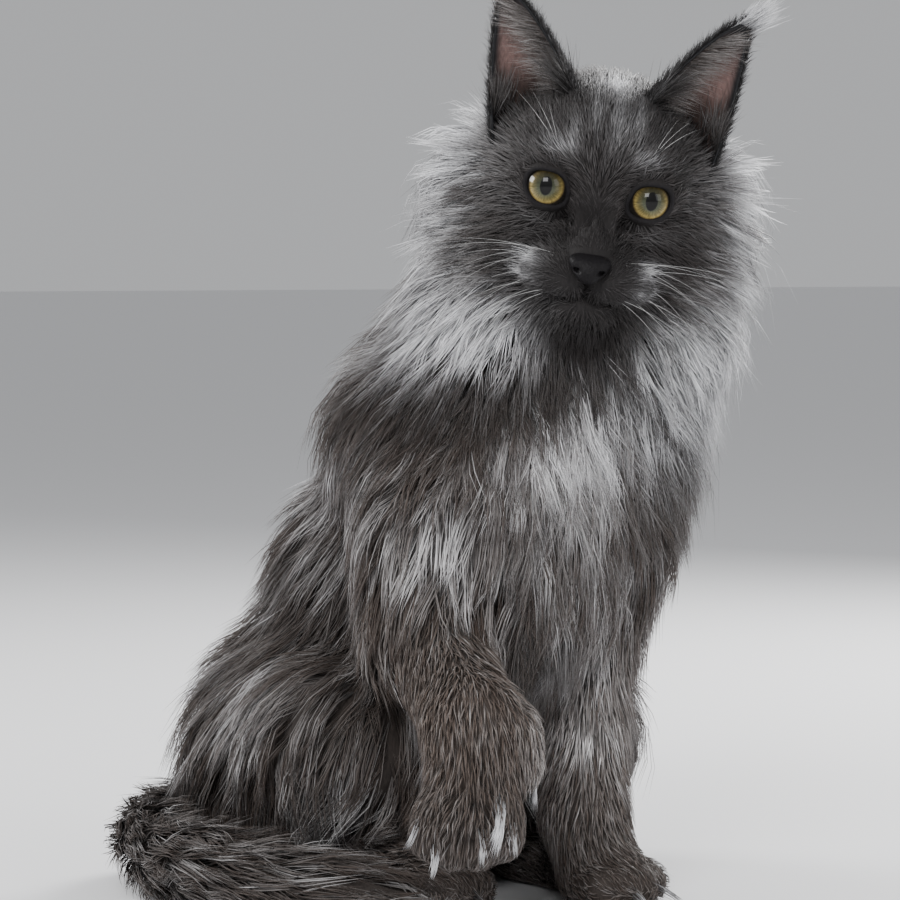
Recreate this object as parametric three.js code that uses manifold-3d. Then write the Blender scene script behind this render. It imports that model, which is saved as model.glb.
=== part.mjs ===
// A young Maine coon cat, life size, sitting with its right forepaw lifted and its tail laid round its right side.
// Millimetres, +Z up. The chest faces -Y and the cat's own left is +X. The origin is on the floor, under the middle.
import * as THREE from "three";
import { mergeVertices } from "three/addons/utils/BufferGeometryUtils.js";
import Module from "manifold-3d";

const wasm = await Module();
wasm.setup();

// Driving dimensions
const GAP = 0.3; // kept between neighbouring pieces
const EYE_HEIGHT = 332; // mid point between the eyes, above the floor
const HEAD_FORWARD = 116; // the same point, in front of the withers
const HEAD_ASIDE = -13; // and to the cat's left of them
const HEAD_TURN = 35; // degrees, to the cat's right
const HEAD_NOD = 7; // degrees, nose down
const HEAD_TILT = 8.5; // degrees, left ear down
const EYE_SPACING = 45;
const EYEBALL_RADIUS = 11;
const EYE_DEPTH = 9.5; // eyeball centre, behind the mid point of the eyes
const LID_THICKNESS = 1.8;
const ORBIT_RADIUS = 12;
const EAR_LENGTH = 52;
const EAR_HALF_WIDTH = 27;
const EAR_DEPTH = 16;
const EAR_THICKNESS = 2.6;
const NOSE_HALF_WIDTH = 11;
const NOSE_HEIGHT = 12;
const BODY_COAT = 18; // depth of the coat over the skin
const BIB_COAT = 26;
const BRITCH_COAT = 20;
const TAIL_COAT = 17;
const LEG_COAT = 6;
const FACE_COAT = 3;
const MERGE_DISTANCE = 4e-3; // corners closer than this are one

// Small vector helpers on [x, y, z] arrays
const add = (a, b) => [a[0] + b[0], a[1] + b[1], a[2] + b[2]];
const sub = (a, b) => [a[0] - b[0], a[1] - b[1], a[2] - b[2]];
const scale = (a, s) => [a[0] * s, a[1] * s, a[2] * s];
const dot = (a, b) => a[0] * b[0] + a[1] * b[1] + a[2] * b[2];
const cross = (a, b) => [
  a[1] * b[2] - a[2] * b[1],
  a[2] * b[0] - a[0] * b[2],
  a[0] * b[1] - a[1] * b[0],
];
const length = (a) => Math.hypot(a[0], a[1], a[2]);
const unit = (a) => scale(a, 1 / (length(a) || 1));
const mix = (a, b, t) => a + (b - a) * t;
const lerp = (a, b, t) => [mix(a[0], b[0], t), mix(a[1], b[1], t), mix(a[2], b[2], t)];
const clamp = (v, low, high) => Math.min(high, Math.max(low, v));
const radians = (degrees) => (degrees * Math.PI) / 180;

// The head has its own frame: x to the cat's left, y back from the eyes, z up
const headGroup = new THREE.Group();
headGroup.position.set(HEAD_ASIDE, -HEAD_FORWARD, EYE_HEIGHT);
headGroup.rotation.set(radians(HEAD_NOD), radians(HEAD_TILT), -radians(HEAD_TURN), "ZYX");
headGroup.updateMatrixWorld(true);
const headMatrix = headGroup.matrixWorld.clone();
const headInverse = headMatrix.clone().invert();
const headPoint = (p) => new THREE.Vector3(...p).applyMatrix4(headMatrix).toArray();
const headLocal = (p) => new THREE.Vector3(...p).applyMatrix4(headInverse).toArray();
const headDirection = (v) => new THREE.Vector3(...v).transformDirection(headMatrix).toArray();

// Distance from p to a limb that tapers from radius ra at a to rb at b
function limbDistance(p, a, b, ra, rb) {
  const ab = sub(b, a);
  const ap = sub(p, a);
  const t = clamp(dot(ap, ab) / (dot(ab, ab) || 1), 0, 1);
  return length(sub(ap, scale(ab, t))) - mix(ra, rb, t);
}

// Distance from p to an ellipsoid with its axes along the frame
function ovalDistance(p, centre, radii) {
  const q = sub(p, centre);
  const k0 = Math.hypot(q[0] / radii[0], q[1] / radii[1], q[2] / radii[2]);
  const k1 = Math.hypot(q[0] / radii[0] ** 2, q[1] / radii[1] ** 2, q[2] / radii[2] ** 2);
  return k1 < 1e-9 ? -Math.min(...radii) : (k0 * (k0 - 1)) / k1;
}

// A mass of flesh under its coat: how it blends with the others, and how deep its coat is
const bodyStyle = { blend: 20, coat: BODY_COAT };
const headStyle = { blend: 7, coat: FACE_COAT };
const limb = (a, b, ra, rb, style) => ({
  distance: (p) => limbDistance(p, a, b, ra, rb),
  ...bodyStyle,
  ...style,
});
const headLimb = (a, b, ra, rb, style) => ({
  distance: (p) => limbDistance(headLocal(p), a, b, ra, rb),
  ...headStyle,
  ...style,
});
const headOval = (centre, radii, style) => ({
  distance: (p) => ovalDistance(headLocal(p), centre, radii),
  ...headStyle,
  ...style,
});
// One for each side
const bothSides = (make) => [make(-1), make(1)];

// Head, in its own frame
const head = [
  headOval([0, 40, 12], [38, 42, 31], { coat: 5 }),
  headOval([0, 24, 20], [26, 22, 22], { coat: 4 }),
  headLimb([0, 12, 8], [0, -8, -20], 10, 8.5, { coat: 2, blend: 5 }),
  headOval([0, -12, -27], [9.5, 9, 7.5], { coat: 2, blend: 4 }),
  headOval([0, 5, -34], [24, 15, 13]),
  headOval([0, -4, -49.5], [12.5, 10, 7.5], { coat: 3, blend: 4 }),
  headLimb([0, 4, -46], [0, 30, -44], 11, 14, { coat: 5 }),
  ...bothSides((side) =>
    headOval([side * 13.5, -8, -36.5], [14.5, 12.5, 9.5], { coat: 2.5, blend: 3 }),
  ),
  ...bothSides((side) => headOval([side * 20, 17, 14], [12, 10, 8])),
  ...bothSides((side) => headOval([side * 25, 24, -12], [16, 17, 16], { coat: 4 })),
  ...bothSides((side) => headOval([side * 32, 37, -14], [16, 20, 22], { coat: 10 })),
  ...bothSides((side) => headLimb([side * 9, 14, -42], [side * 27, 44, -32], 9, 15, { coat: 9 })),
];

// The eyes, in the head's frame: in front of each, the face is carved back close to the eyeball
const eyeCentre = (side) => [(side * EYE_SPACING) / 2, EYE_DEPTH, 0];
const gaze = (side) => unit([side * 0.1, -1, 0.02]);
function orbitCarve(p) {
  const q = headLocal(p);
  let deepest = -1e3;
  for (const side of [-1, 1]) {
    const r = sub(q, eyeCentre(side));
    const ahead = dot(r, gaze(side));
    const aside = length(sub(r, scale(gaze(side), ahead)));
    const beyond = length(r) - EYEBALL_RADIUS - LID_THICKNESS;
    deepest = Math.max(deepest, Math.min(beyond, ORBIT_RADIUS - aside, ahead));
  }
  return deepest;
}

// Neck, from the skull to the withers, under the ruff
const NAPE = headPoint([0, 62, -2]);
const THROAT = headPoint([0, 50, -46]);
const WITHERS = [0, 2, 236];
const BREAST = [6, -38, 214];
const neck = [
  limb(NAPE, WITHERS, 33, 38, { coat: 20 }),
  limb(THROAT, BREAST, 24, 36, { coat: BIB_COAT }),
];
// The ruff is all hair: fans of it behind the cheeks and down both sides of the throat, out to their tips
const fanStyle = { blend: 12, coat: 0 };
const ruff = [
  ...bothSides((side) => headOval([side * 42, 60, -6], [45, 33, 44], fanStyle)),
  ...bothSides((side) => headOval([side * 40, 52, -50], [46, 34, 44], fanStyle)),
  limb(headPoint([26, 44, -58]), [46, -56, 224], 42, 48, { coat: 0 }),
  limb(headPoint([-26, 44, -58]), [-32, -22, 232], 42, 50, { coat: 0 }),
];

// Trunk
const SHOULDER_LEFT = [42, -42, 180];
const SHOULDER_RIGHT = [-46, -44, 182];
const trunk = [
  limb([-12, 98, 62], [-10, 74, 84], 42, 46),
  limb([-10, 80, 88], [-6, 48, 142], 46, 49),
  limb([-5, 46, 144], [0, 0, 202], 50, 47),
  limb([0, 16, 220], [0, -22, 222], 38, 36),
  limb([0, -36, 204], [0, -36, 168], 40, 34, { coat: BIB_COAT }),
  limb([0, -12, 158], [-6, 36, 74], 42, 46),
  limb([38, 2, 224], SHOULDER_LEFT, 22, 28),
  limb([-40, 2, 224], SHOULDER_RIGHT, 22, 28),
];

// Four toes across a paw: from the knuckles at a, forward along f, spread along s
function pawToes(a, f, s, spread, r, style) {
  const forward = unit(f);
  const aside = unit(s);
  const palm = limb(a, add(a, scale(forward, 4)), r * 1.35, r * 1.3, { blend: 8, ...style });
  const toes = [-1, -0.34, 0.34, 1].map((place) => {
    const reach = 15 - 4.5 * place * place;
    const base = add(a, scale(aside, place * spread * 0.75));
    const tip = add(add(base, scale(forward, reach)), scale(aside, place * 2));
    return limb(base, tip, r * 0.82, r * 0.72, { blend: 4, ...style });
  });
  return [palm, ...toes];
}

// Left foreleg, which carries the weight
const ELBOW_LEFT = [46, -26, 130];
const WRIST_LEFT = [32, -46, 46];
const armStyle = { blend: 16, coat: 12 };
const legStyle = { blend: 10, coat: LEG_COAT };
const forelegLeft = [
  limb(SHOULDER_LEFT, ELBOW_LEFT, 27, 23, armStyle),
  limb(ELBOW_LEFT, WRIST_LEFT, 20, 14.5, { ...legStyle, coat: 8 }),
  limb(WRIST_LEFT, [33, -56, 18], 14.5, 15, legStyle),
  ...pawToes([34, -64, 15], [0.1, -1, -0.1], [1, 0.1, 0], 16, 11, { coat: 4 }),
];

// Right foreleg, lifted towards the viewer with the paw hanging from the wrist, and its dewclaw's bulge
const ELBOW_RIGHT = [-54, -42, 132];
const WRIST_RIGHT = [-73, -106, 99];
const forelegRight = [
  limb(SHOULDER_RIGHT, ELBOW_RIGHT, 28, 24, armStyle),
  limb(ELBOW_RIGHT, WRIST_RIGHT, 20, 17, legStyle),
  limb(WRIST_RIGHT, [-78, -112, 72], 17, 17, legStyle),
  ...pawToes([-81, -113, 62], [-0.06, 0.12, -1], [0.82, -0.57, 0], 17, 11.5, { coat: 4 }),
  limb(add(WRIST_RIGHT, [14, -9, -4]), add(WRIST_RIGHT, [17, -11, -18]), 9, 6, legStyle),
];

// Hind legs: the haunch folds over the shank, and the foot lies flat
const britchStyle = { coat: BRITCH_COAT };
const haunch = (side) => [
  limb([side * 34 - 6, 84, 76], [side * 60 - 4, 6, 82], 42, 27),
  limb([side * 57 - 4, 8, 74], [side * 46 - 4, 70, 38], 25, 22, britchStyle),
  limb([side * 44 - 6, 92, 52], [side * 46 - 6, 80, 34], 34, 24, britchStyle),
];
const hindFoot = (heel, toe) => [
  limb(heel, toe, 15, 13.5, { ...legStyle, blend: 8 }),
  ...pawToes(toe, sub(toe, heel), [1, 0, 0], 14, 10.5, { coat: 5 }),
];
const hindFeet = {
  left: hindFoot([54, 66, 17], [58, -14, 15]),
  right: hindFoot([-54, 48, 17], [-46, -36, 15]),
};

// Tail, laid on the floor round the cat's right side
const tailCurve = new THREE.CatmullRomCurve3(
  [
    [-10, 130, 40],
    [-34, 150, 27],
    [-74, 146, 25],
    [-108, 112, 24],
    [-122, 62, 23],
    [-122, 10, 22],
    [-108, -40, 20],
    [-86, -70, 17],
  ].map((p) => new THREE.Vector3(...p)),
);
const TAIL_STEPS = 14;
const TAIL_RADII = [13, 9.5, 8.5, 8, 7, 6, 4.5, 3]; // flesh, from root to tip
const tailPoint = (t) => tailCurve.getPoint(t).toArray();
const tailRadius = (t) => {
  const place = t * (TAIL_RADII.length - 1);
  const i = Math.min(Math.floor(place), TAIL_RADII.length - 2);
  return mix(TAIL_RADII[i], TAIL_RADII[i + 1], place - i);
};
const tail = Array.from({ length: TAIL_STEPS }, (_, i) => {
  const from = i / TAIL_STEPS;
  const to = (i + 1) / TAIL_STEPS;
  const coat = TAIL_COAT * clamp(0.45 + from * 1.2, 0, 1) * (i === TAIL_STEPS - 1 ? 0.8 : 1);
  return limb(tailPoint(from), tailPoint(to), tailRadius(from), tailRadius(to), {
    blend: 6,
    coat,
  });
});

// Smooth union of masses: two that meet are filleted over the blend length
function smoothUnion(a, b, k) {
  const h = Math.max(k - Math.abs(a - b), 0) / k;
  return Math.min(a, b) - (h * h * k) / 4;
}
// A field with a carved region taken out of it, both edges softened
const smoothCut = (a, carve, k) => -smoothUnion(-a, -carve, k);

// The coat's outline: every mass with its coat on, out to the tips
const outline = (masses) => (p) => {
  let d = 1e3;
  for (const m of masses) d = smoothUnion(d, m.distance(p) - m.coat, m.blend);
  return d;
};

// Evenly spaced numbers from low to high, about step apart
function ticks(low, high, step) {
  const n = Math.max(2, Math.ceil((high - low) / step));
  return Array.from({ length: n + 1 }, (_, i) => low + ((high - low) * i) / n);
}
const boxGrid = (low, high, step) => [0, 1, 2].map((axis) => ticks(low[axis], high[axis], step));
// A row of ticks with a step of its own for each run: start, step, end, step, end
const row = (...runs) => {
  const list = [runs[0]];
  for (let i = 1; i < runs.length; i += 2) list.push(...ticks(list.at(-1), runs[i + 1], runs[i]).slice(1));
  return list;
};

// A closed mesh of the surface where field is zero, on a grid of the given ticks: one corner in each cell
// that the surface crosses, and one quad round each grid edge that it crosses
function surfaceMesh(field, xs, ys, zs) {
  const [nx, ny, nz] = [xs.length, ys.length, zs.length];
  const at = (i, j, k) => (k * ny + j) * nx + i;
  const value = new Float64Array(nx * ny * nz);
  for (let k = 0; k < nz; k++)
    for (let j = 0; j < ny; j++)
      for (let i = 0; i < nx; i++) {
        const rim = i === 0 || j === 0 || k === 0 || i === nx - 1 || j === ny - 1 || k === nz - 1;
        const v = field([xs[i], ys[j], zs[k]]);
        value[at(i, j, k)] = rim ? Math.max(v, 0.5) : v || 1e-6;
      }
  const corners = [0, 1, 2, 3, 4, 5, 6, 7].map((c) => [c & 1, (c >> 1) & 1, (c >> 2) & 1]);
  const edges = [];
  for (let a = 0; a < 8; a++)
    for (let b = a + 1; b < 8; b++) if ([1, 2, 4].includes(a ^ b)) edges.push([a, b]);
  const cellCorner = new Int32Array(nx * ny * nz * 8).fill(-1);
  const points = [];
  for (let k = 0; k < nz - 1; k++)
    for (let j = 0; j < ny - 1; j++)
      for (let i = 0; i < nx - 1; i++) {
        const v = corners.map(([a, b, c]) => value[at(i + a, j + b, k + c)]);
        const inside = v.map((x) => x < 0);
        if (inside.every((x) => x) || !inside.some((x) => x)) continue;
        // Corners inside that touch along an edge share one point
        const patch = [0, 1, 2, 3, 4, 5, 6, 7];
        for (let pass = 0; pass < 4; pass++)
          for (const [a, b] of edges)
            if (inside[a] && inside[b]) patch[a] = patch[b] = Math.min(patch[a], patch[b]);
        const sums = {};
        for (const [a, b] of edges) {
          if (inside[a] === inside[b]) continue;
          const t = v[a] / (v[a] - v[b]);
          const end = (c) => [xs[i + corners[c][0]], ys[j + corners[c][1]], zs[k + corners[c][2]]];
          const sum = (sums[patch[inside[a] ? a : b]] ??= { point: [0, 0, 0], count: 0 });
          sum.point = add(sum.point, lerp(end(a), end(b), t));
          sum.count++;
        }
        for (const key of Object.keys(sums)) {
          points.push(scale(sums[key].point, 1 / sums[key].count));
          for (let c = 0; c < 8; c++)
            if (inside[c] && patch[c] === Number(key)) cellCorner[at(i, j, k) * 8 + c] = points.length - 1;
        }
      }
  const faces = [];
  const quad = (q, flipped) => {
    if (flipped) q.reverse();
    const gap = (m, n) => length(sub(points[q[m]], points[q[n]]));
    if (gap(0, 2) <= gap(1, 3)) faces.push(q[0], q[1], q[2], q[0], q[2], q[3]);
    else faces.push(q[0], q[1], q[3], q[1], q[2], q[3]);
  };
  const rounds = [
    [[1, 0, 0], [[0, -1, -1], [0, 0, -1], [0, 0, 0], [0, -1, 0]]],
    [[0, 1, 0], [[-1, 0, -1], [-1, 0, 0], [0, 0, 0], [0, 0, -1]]],
    [[0, 0, 1], [[-1, -1, 0], [0, -1, 0], [0, 0, 0], [-1, 0, 0]]],
  ];
  for (let k = 0; k < nz - 1; k++)
    for (let j = 0; j < ny - 1; j++)
      for (let i = 0; i < nx - 1; i++)
        for (const [[a, b, c], cells] of rounds) {
          const inside = value[at(i, j, k)] < 0;
          if (inside === value[at(i + a, j + b, k + c)] < 0) continue;
          const point = inside ? [i, j, k] : [i + a, j + b, k + c];
          const q = cells.map(([x, y, z]) => {
            const corner = point[0] - i - x + 2 * (point[1] - j - y) + 4 * (point[2] - k - z);
            return cellCorner[at(i + x, j + y, k + z) * 8 + corner];
          });
          quad(q, !inside);
        }
  return indexed(points, faces);
}

// A geometry from a list of points and a flat list of corner numbers
function indexed(points, faces) {
  const g = new THREE.BufferGeometry();
  g.setAttribute("position", new THREE.BufferAttribute(new Float32Array(points.flat()), 3));
  g.setIndex(new THREE.BufferAttribute(new Uint32Array(faces), 1));
  return g;
}

// Geometry to solid and back
function solid(geometry, distance = MERGE_DISTANCE) {
  const g = geometry.clone();
  g.deleteAttribute("normal");
  g.deleteAttribute("uv");
  const merged = mergeVertices(g, distance);
  return new wasm.Manifold(
    new wasm.Mesh({
      numProp: 3,
      vertProperties: new Float32Array(merged.attributes.position.array),
      triVerts: new Uint32Array(merged.index.array),
    }),
  );
}
function geometryOf(made) {
  const m = made.getMesh();
  const g = new THREE.BufferGeometry();
  const xyz = new Float32Array(m.numVert * 3);
  for (let i = 0; i < m.numVert; i++)
    xyz.set(m.vertProperties.subarray(i * m.numProp, i * m.numProp + 3), i * 3);
  g.setAttribute("position", new THREE.BufferAttribute(xyz, 3));
  g.setIndex(new THREE.BufferAttribute(m.triVerts, 1));
  return g;
}
const headSolid = (g) => solid(g.applyMatrix4(headMatrix));
// The largest closed surface, before and after corners that all but touch are merged
const largestBody = (made) => made.decompose().sort((a, b) => b.volume() - a.volume())[0];
const largest = (made) => largestBody(solid(geometryOf(largestBody(made))));

// The solid where a field is below zero, on a grid given by three rows of ticks in the world's frame or
// the head's. Where the grid meets the surface badly it is shifted a little and tried again
function fieldSolid(field, grid, headFrame = false) {
  const valueAt = (p) => field(headFrame ? headPoint(p) : p);
  let problem = null;
  for (let attempt = 0; attempt < 8; attempt++) {
    const shifted = grid.map((list, axis) => list.map((v) => v + 0.43 * attempt * (axis - 0.7)));
    try {
      const g = surfaceMesh(valueAt, ...shifted);
      return largest(headFrame ? headSolid(g) : solid(g));
    } catch (error) {
      problem = error;
    }
  }
  throw problem;
}

// Everything on the inner side of a plane through point, held back from it by half the gap
const FAR = 900;
function halfSpace([point, normal], back) {
  const n = new THREE.Vector3(...unit(normal));
  const g = new THREE.BoxGeometry(FAR, FAR, FAR);
  g.translate(0, 0, -FAR / 2 - back);
  g.applyQuaternion(new THREE.Quaternion().setFromUnitVectors(new THREE.Vector3(0, 0, 1), n));
  return solid(g.translate(...point));
}
const cell = (planes, back = GAP / 2) =>
  planes.map((plane) => halfSpace(plane, back)).reduce((a, b) => a.intersect(b));
const ABOVE_FLOOR = halfSpace([[0, 0, 0], [0, 0, -1]], 0);
const flip = ([point, normal]) => [point, scale(normal, -1)];

const solids = {};
const grown = {};

// A simple body with every corner moved out along its normal
function swell(made, by = GAP * 1.5) {
  const g = geometryOf(made);
  g.computeVertexNormals();
  const { position, normal } = g.attributes;
  for (let i = 0; i < position.array.length; i++) position.array[i] += normal.array[i] * by;
  return solid(g);
}

// Rests a new piece on the floor and cuts what is already there, grown by the gap, out of it
const TOUCH_VOLUME = 5e-4; // a smaller overlap is none
const CLEAR_ROUNDS = 3;
const FINEST = 0.2; // smaller facets than this are dropped
function boxesMeet(a, b) {
  const [p, q] = [a.boundingBox(), b.boundingBox()];
  return [0, 1, 2].every((axis) => p.min[axis] < q.max[axis] && q.min[axis] < p.max[axis]);
}
function place(name, made, larger) {
  const near = Object.keys(solids).filter((other) => boxesMeet(made, grown[other]));
  let piece = made.intersect(ABOVE_FLOOR);
  for (const other of near) piece = piece.subtract(grown[other]);
  piece = largest(piece.simplify(FINEST));
  // Where a fold of another piece still reaches in, a simple block of it is cut out
  for (let round = 0; round < CLEAR_ROUNDS; round++)
    for (const other of near)
      for (const part of piece.intersect(solids[other]).decompose())
        if (part.volume() > TOUCH_VOLUME) piece = largest(piece.subtract(swell(part.hull())));
  solids[name] = piece;
  grown[name] = larger;
}

// A piece of flesh and coat within planes
function flesh(name, masses, planes, grid, options = {}) {
  const { headFrame = false, carve = null, refine = (made) => made } = options;
  const coat = outline(masses);
  const shape = carve ? (p) => smoothCut(coat(p), carve(p), 3) : coat;
  const within = planes.length ? cell(planes) : ABOVE_FLOOR;
  const plain = fieldSolid(shape, grid, headFrame).intersect(within);
  place(name, refine(plain), swell(plain));
}

// Seams between the nodes: each plane is a point and the normal that points out of the piece
const NECK_SEAM = [headPoint([0, 46, -30]), headDirection([0, 0.75, -0.66])];
const CHEST_SEAM = [[0, -24, 232], [0, -0.12, -0.99]];
const LEFT_WRIST_SEAM = [[32, -48, 38], [0, -0.25, -1]];
const RIGHT_WRIST_SEAM = [[-75, -108, 88], [0, -0.1, -1]];
const LEFT_FORELEG_CELL = [
  [[0, 0, 146], [0.1, 0, 1]],
  [[0, 0, 100], [-0.15, 1, 0]],
  [[8, 0, 0], [-1, 0, 0]],
];
const RIGHT_FORELEG_CELL = [
  [[-40, -40, 150], [-0.1, 0.2, 1]],
  [[0, -14, 100], [0.15, 1, 0]],
  [[-12, 0, 0], [1, 0, 0]],
];
const HAUNCH_CELLS = {
  left: [[[30, 0, 0], [-1, 0, 0]], [[60, 40, 122], [-0.3, 0.2, 1]]],
  right: [[[-38, 0, 0], [1, 0, 0]], [[-60, 40, 122], [0.3, 0.2, 1]]],
};

// Eyelids: a ring on the eyeball, thin at its edge and thick where it sinks into the face, round an
// opening that is a little longer across and drawn out at its inner corner
const LID_STEPS = 20;
function lidRay(side, step, spread) {
  const forward = gaze(side);
  const aside = unit(cross(forward, [0, 0, 1]));
  const up = cross(aside, forward);
  const turn = (step / LID_STEPS) * Math.PI * 2;
  const [c, s] = [Math.cos(turn), Math.sin(turn)];
  const inward = Math.max(c * side, 0);
  const edge = 49 + 5 * c * c + 6 * inward ** 6 - 3 * Math.max(s, 0) ** 2;
  const angle = radians(edge + spread);
  const out = add(scale(aside, c), scale(up, s));
  return add(scale(forward, Math.cos(angle)), scale(out, Math.sin(angle)));
}
function lidRing(side) {
  const profile = [
    [0, -0.6],
    [0, LID_THICKNESS * 0.75],
    [10, LID_THICKNESS + 0.2],
    [26, LID_THICKNESS + 0.4],
    [44, -1],
    [22, -2.5],
  ];
  const points = [];
  const faces = [];
  const n = profile.length;
  for (let i = 0; i < LID_STEPS; i++) {
    for (const [spread, lift] of profile)
      points.push(add(eyeCentre(side), scale(lidRay(side, i, spread), EYEBALL_RADIUS + lift)));
    const next = ((i + 1) % LID_STEPS) * n;
    for (let j = 0; j < n; j++) {
      const k = (j + 1) % n;
      faces.push(i * n + j, next + k, i * n + k, i * n + j, next + j, next + k);
    }
  }
  return indexed(points, faces);
}
function lidOpening(side) {
  const points = [eyeCentre(side), add(eyeCentre(side), scale(gaze(side), EYEBALL_RADIUS * 2))];
  const faces = [];
  for (let i = 0; i < LID_STEPS; i++) {
    points.push(add(eyeCentre(side), scale(lidRay(side, i, 2), EYEBALL_RADIUS * 2)));
    const [a, b] = [2 + i, 2 + ((i + 1) % LID_STEPS)];
    faces.push(0, a, b, 1, b, a);
  }
  return indexed(points, faces);
}
function eyeball(side, radius) {
  const g = new THREE.SphereGeometry(radius, 14, 9);
  g.rotateX(Math.PI / 2);
  return headSolid(g.translate(...eyeCentre(side)));
}

// Line of the mouth: a groove that hangs from the nose and runs back under both whisker pads
const MOUTH_WIDTH = 1.5;
const MOUTH_DEPTH = 2.4;
const mouthLine = [
  [-24, -44.5],
  [-18, -43.8],
  [-12, -45.6],
  [-6, -46.6],
  [0, -44],
  [6, -46.6],
  [12, -45.6],
  [18, -43.8],
  [24, -44.5],
];
// Front of the face at x, z in the head's frame
function faceFront(x, z) {
  const field = outline(head);
  let y = -45;
  for (let i = 0; i < 60; i++) {
    const d = field(headPoint([x, y, z]));
    if (d < 0.02) break;
    y += d * 0.9;
  }
  return y;
}
// A blade that cuts a groove along a line of x, z points
function grooveBlade(line, width, depth) {
  const points = [];
  const faces = [];
  line.forEach(([x, z], i) => {
    const [ax, az] = line[Math.max(i - 1, 0)];
    const [bx, bz] = line[Math.min(i + 1, line.length - 1)];
    const tangent = unit([bx - ax, 0, bz - az]);
    const side = [-tangent[2], 0, tangent[0]];
    const front = faceFront(x, z);
    const end = i === 0 || i === line.length - 1;
    const half = (width / 2) * (end ? 0.4 : 1);
    points.push(add([x, front - 4, z], scale(side, half * 2.2)));
    points.push(add([x, front - 4, z], scale(side, -half * 2.2)));
    points.push([x, front + depth * (end ? 0.5 : 1), z]);
  });
  for (let i = 0; i < line.length - 1; i++)
    for (let j = 0; j < 3; j++) {
      const [a, b] = [i * 3 + j, i * 3 + ((j + 1) % 3)];
      faces.push(a, b, b + 3, a, b + 3, a + 3);
    }
  const end = (line.length - 1) * 3;
  faces.push(0, 2, 1, end, end + 1, end + 2);
  return indexed(points, faces);
}
function faceDetail(made) {
  let face = made;
  for (const side of [-1, 1]) {
    face = face.subtract(headSolid(lidOpening(side))).add(headSolid(lidRing(side)));
    face = face.subtract(eyeball(side, EYEBALL_RADIUS + GAP));
  }
  const philtrum = [[0, -37], [0, -41], [0, -45.5]];
  for (const line of [mouthLine, philtrum])
    face = face.subtract(headSolid(grooveBlade(line, MOUTH_WIDTH, MOUTH_DEPTH)));
  return face;
}

// Head, on a grid that is fine at the face
const HEAD_GRID = [
  row(-96, 11, -36, 5.3, 36, 11, 96),
  row(-38, 5.3, 22, 9, 104),
  row(-104, 11, -62, 5.3, 28, 9, 76),
];
flesh("head", [...head, ...neck, ...ruff], [NECK_SEAM, CHEST_SEAM], HEAD_GRID, {
  headFrame: true,
  carve: orbitCarve,
  refine: faceDetail,
});
for (const [side, name] of [[-1, "eye_right"], [1, "eye_left"]]) {
  solids[name] = eyeball(side, EYEBALL_RADIUS);
  grown[name] = swell(solids[name]);
}

// Ears: a cupped leaf with its opening towards the front, and the tuft at its tip
function earGeometry(side) {
  const base = [side * 36, 29, 33];
  const axis = unit([side * 0.37, 0.02, 0.93]);
  const facing = [side * 0.42, -0.9, 0.1];
  const opening = unit(sub(facing, scale(axis, dot(facing, axis))));
  const aside = cross(axis, opening);
  const rows = 6;
  const columns = 7;
  const points = [];
  const outer = [];
  const inner = [];
  for (let r = 0; r <= rows; r++) {
    const t = r / rows;
    const wide = EAR_HALF_WIDTH * Math.max(1 - t, 0.02) ** 0.62;
    const deep = EAR_DEPTH * Math.max(1 - t, 0.02) ** 0.8;
    const open = radians(mix(118, 78, t));
    const centre = add(base, scale(axis, mix(-14, EAR_LENGTH, t)));
    for (let c = 0; c <= columns; c++) {
      const angle = mix(-open, open, c / columns);
      const across = scale(aside, wide * Math.sin(angle));
      const back = scale(opening, -deep * (Math.cos(angle) + 0.3));
      const p = add(centre, add(across, back));
      const out = unit(
        add(scale(aside, Math.sin(angle) / wide), scale(opening, -Math.cos(angle) / deep)),
      );
      const half = Math.min(EAR_THICKNESS, wide * 0.6) / 2;
      outer.push(points.push(add(p, scale(out, half))) - 1);
      inner.push(points.push(sub(p, scale(out, half))) - 1);
    }
  }
  const faces = [];
  const w = columns + 1;
  const two = (a, b, c, d) => faces.push(a, c, b, a, d, c);
  for (let r = 0; r < rows; r++)
    for (let c = 0; c < columns; c++) {
      const [a, b, d, e] = [r * w + c, r * w + c + 1, (r + 1) * w + c, (r + 1) * w + c + 1];
      two(outer[a], outer[b], outer[e], outer[d]);
      two(inner[b], inner[a], inner[d], inner[e]);
    }
  const top = rows * w;
  for (let c = 0; c < columns; c++) {
    two(outer[c + 1], outer[c], inner[c], inner[c + 1]);
    two(outer[top + c], outer[top + c + 1], inner[top + c + 1], inner[top + c]);
  }
  for (let r = 0; r < rows; r++) {
    const [low, high] = [r * w, (r + 1) * w];
    two(outer[low], outer[high], inner[high], inner[low]);
    two(outer[high + columns], outer[low + columns], inner[low + columns], inner[high + columns]);
  }
  return indexed(points, faces);
}
// The tuft at the ear's tip, which tapers and bends outwards
const TUFT_SIDES = 6;
function earTuft(side) {
  const places = [
    [[side * 53, 27, 74], 3],
    [[side * 56, 26.5, 85], 2.6],
    [[side * 60, 26, 93], 1.6],
    [[side * 68, 27, 101], 0],
  ];
  const points = [];
  const faces = [];
  for (const [[x, y, z], radius] of places.slice(0, -1))
    for (let k = 0; k < TUFT_SIDES; k++) {
      const turn = (k / TUFT_SIDES) * Math.PI * 2;
      points.push([x + radius * Math.cos(turn), y - radius * 0.6 * Math.sin(turn), z]);
    }
  const tip = points.push(places.at(-1)[0]) - 1;
  const root = points.push(places[0][0]) - 1;
  const last = tip - TUFT_SIDES;
  for (let k = 0; k < TUFT_SIDES; k++) {
    const next = (k + 1) % TUFT_SIDES;
    faces.push(root, k, next, last + k, tip, last + next);
    for (let ring = 0; ring < last; ring += TUFT_SIDES) {
      const [a, b] = [ring + k, ring + next];
      faces.push(a, b + TUFT_SIDES, b, a, a + TUFT_SIDES, b + TUFT_SIDES);
    }
  }
  return indexed(points, faces);
}
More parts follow.
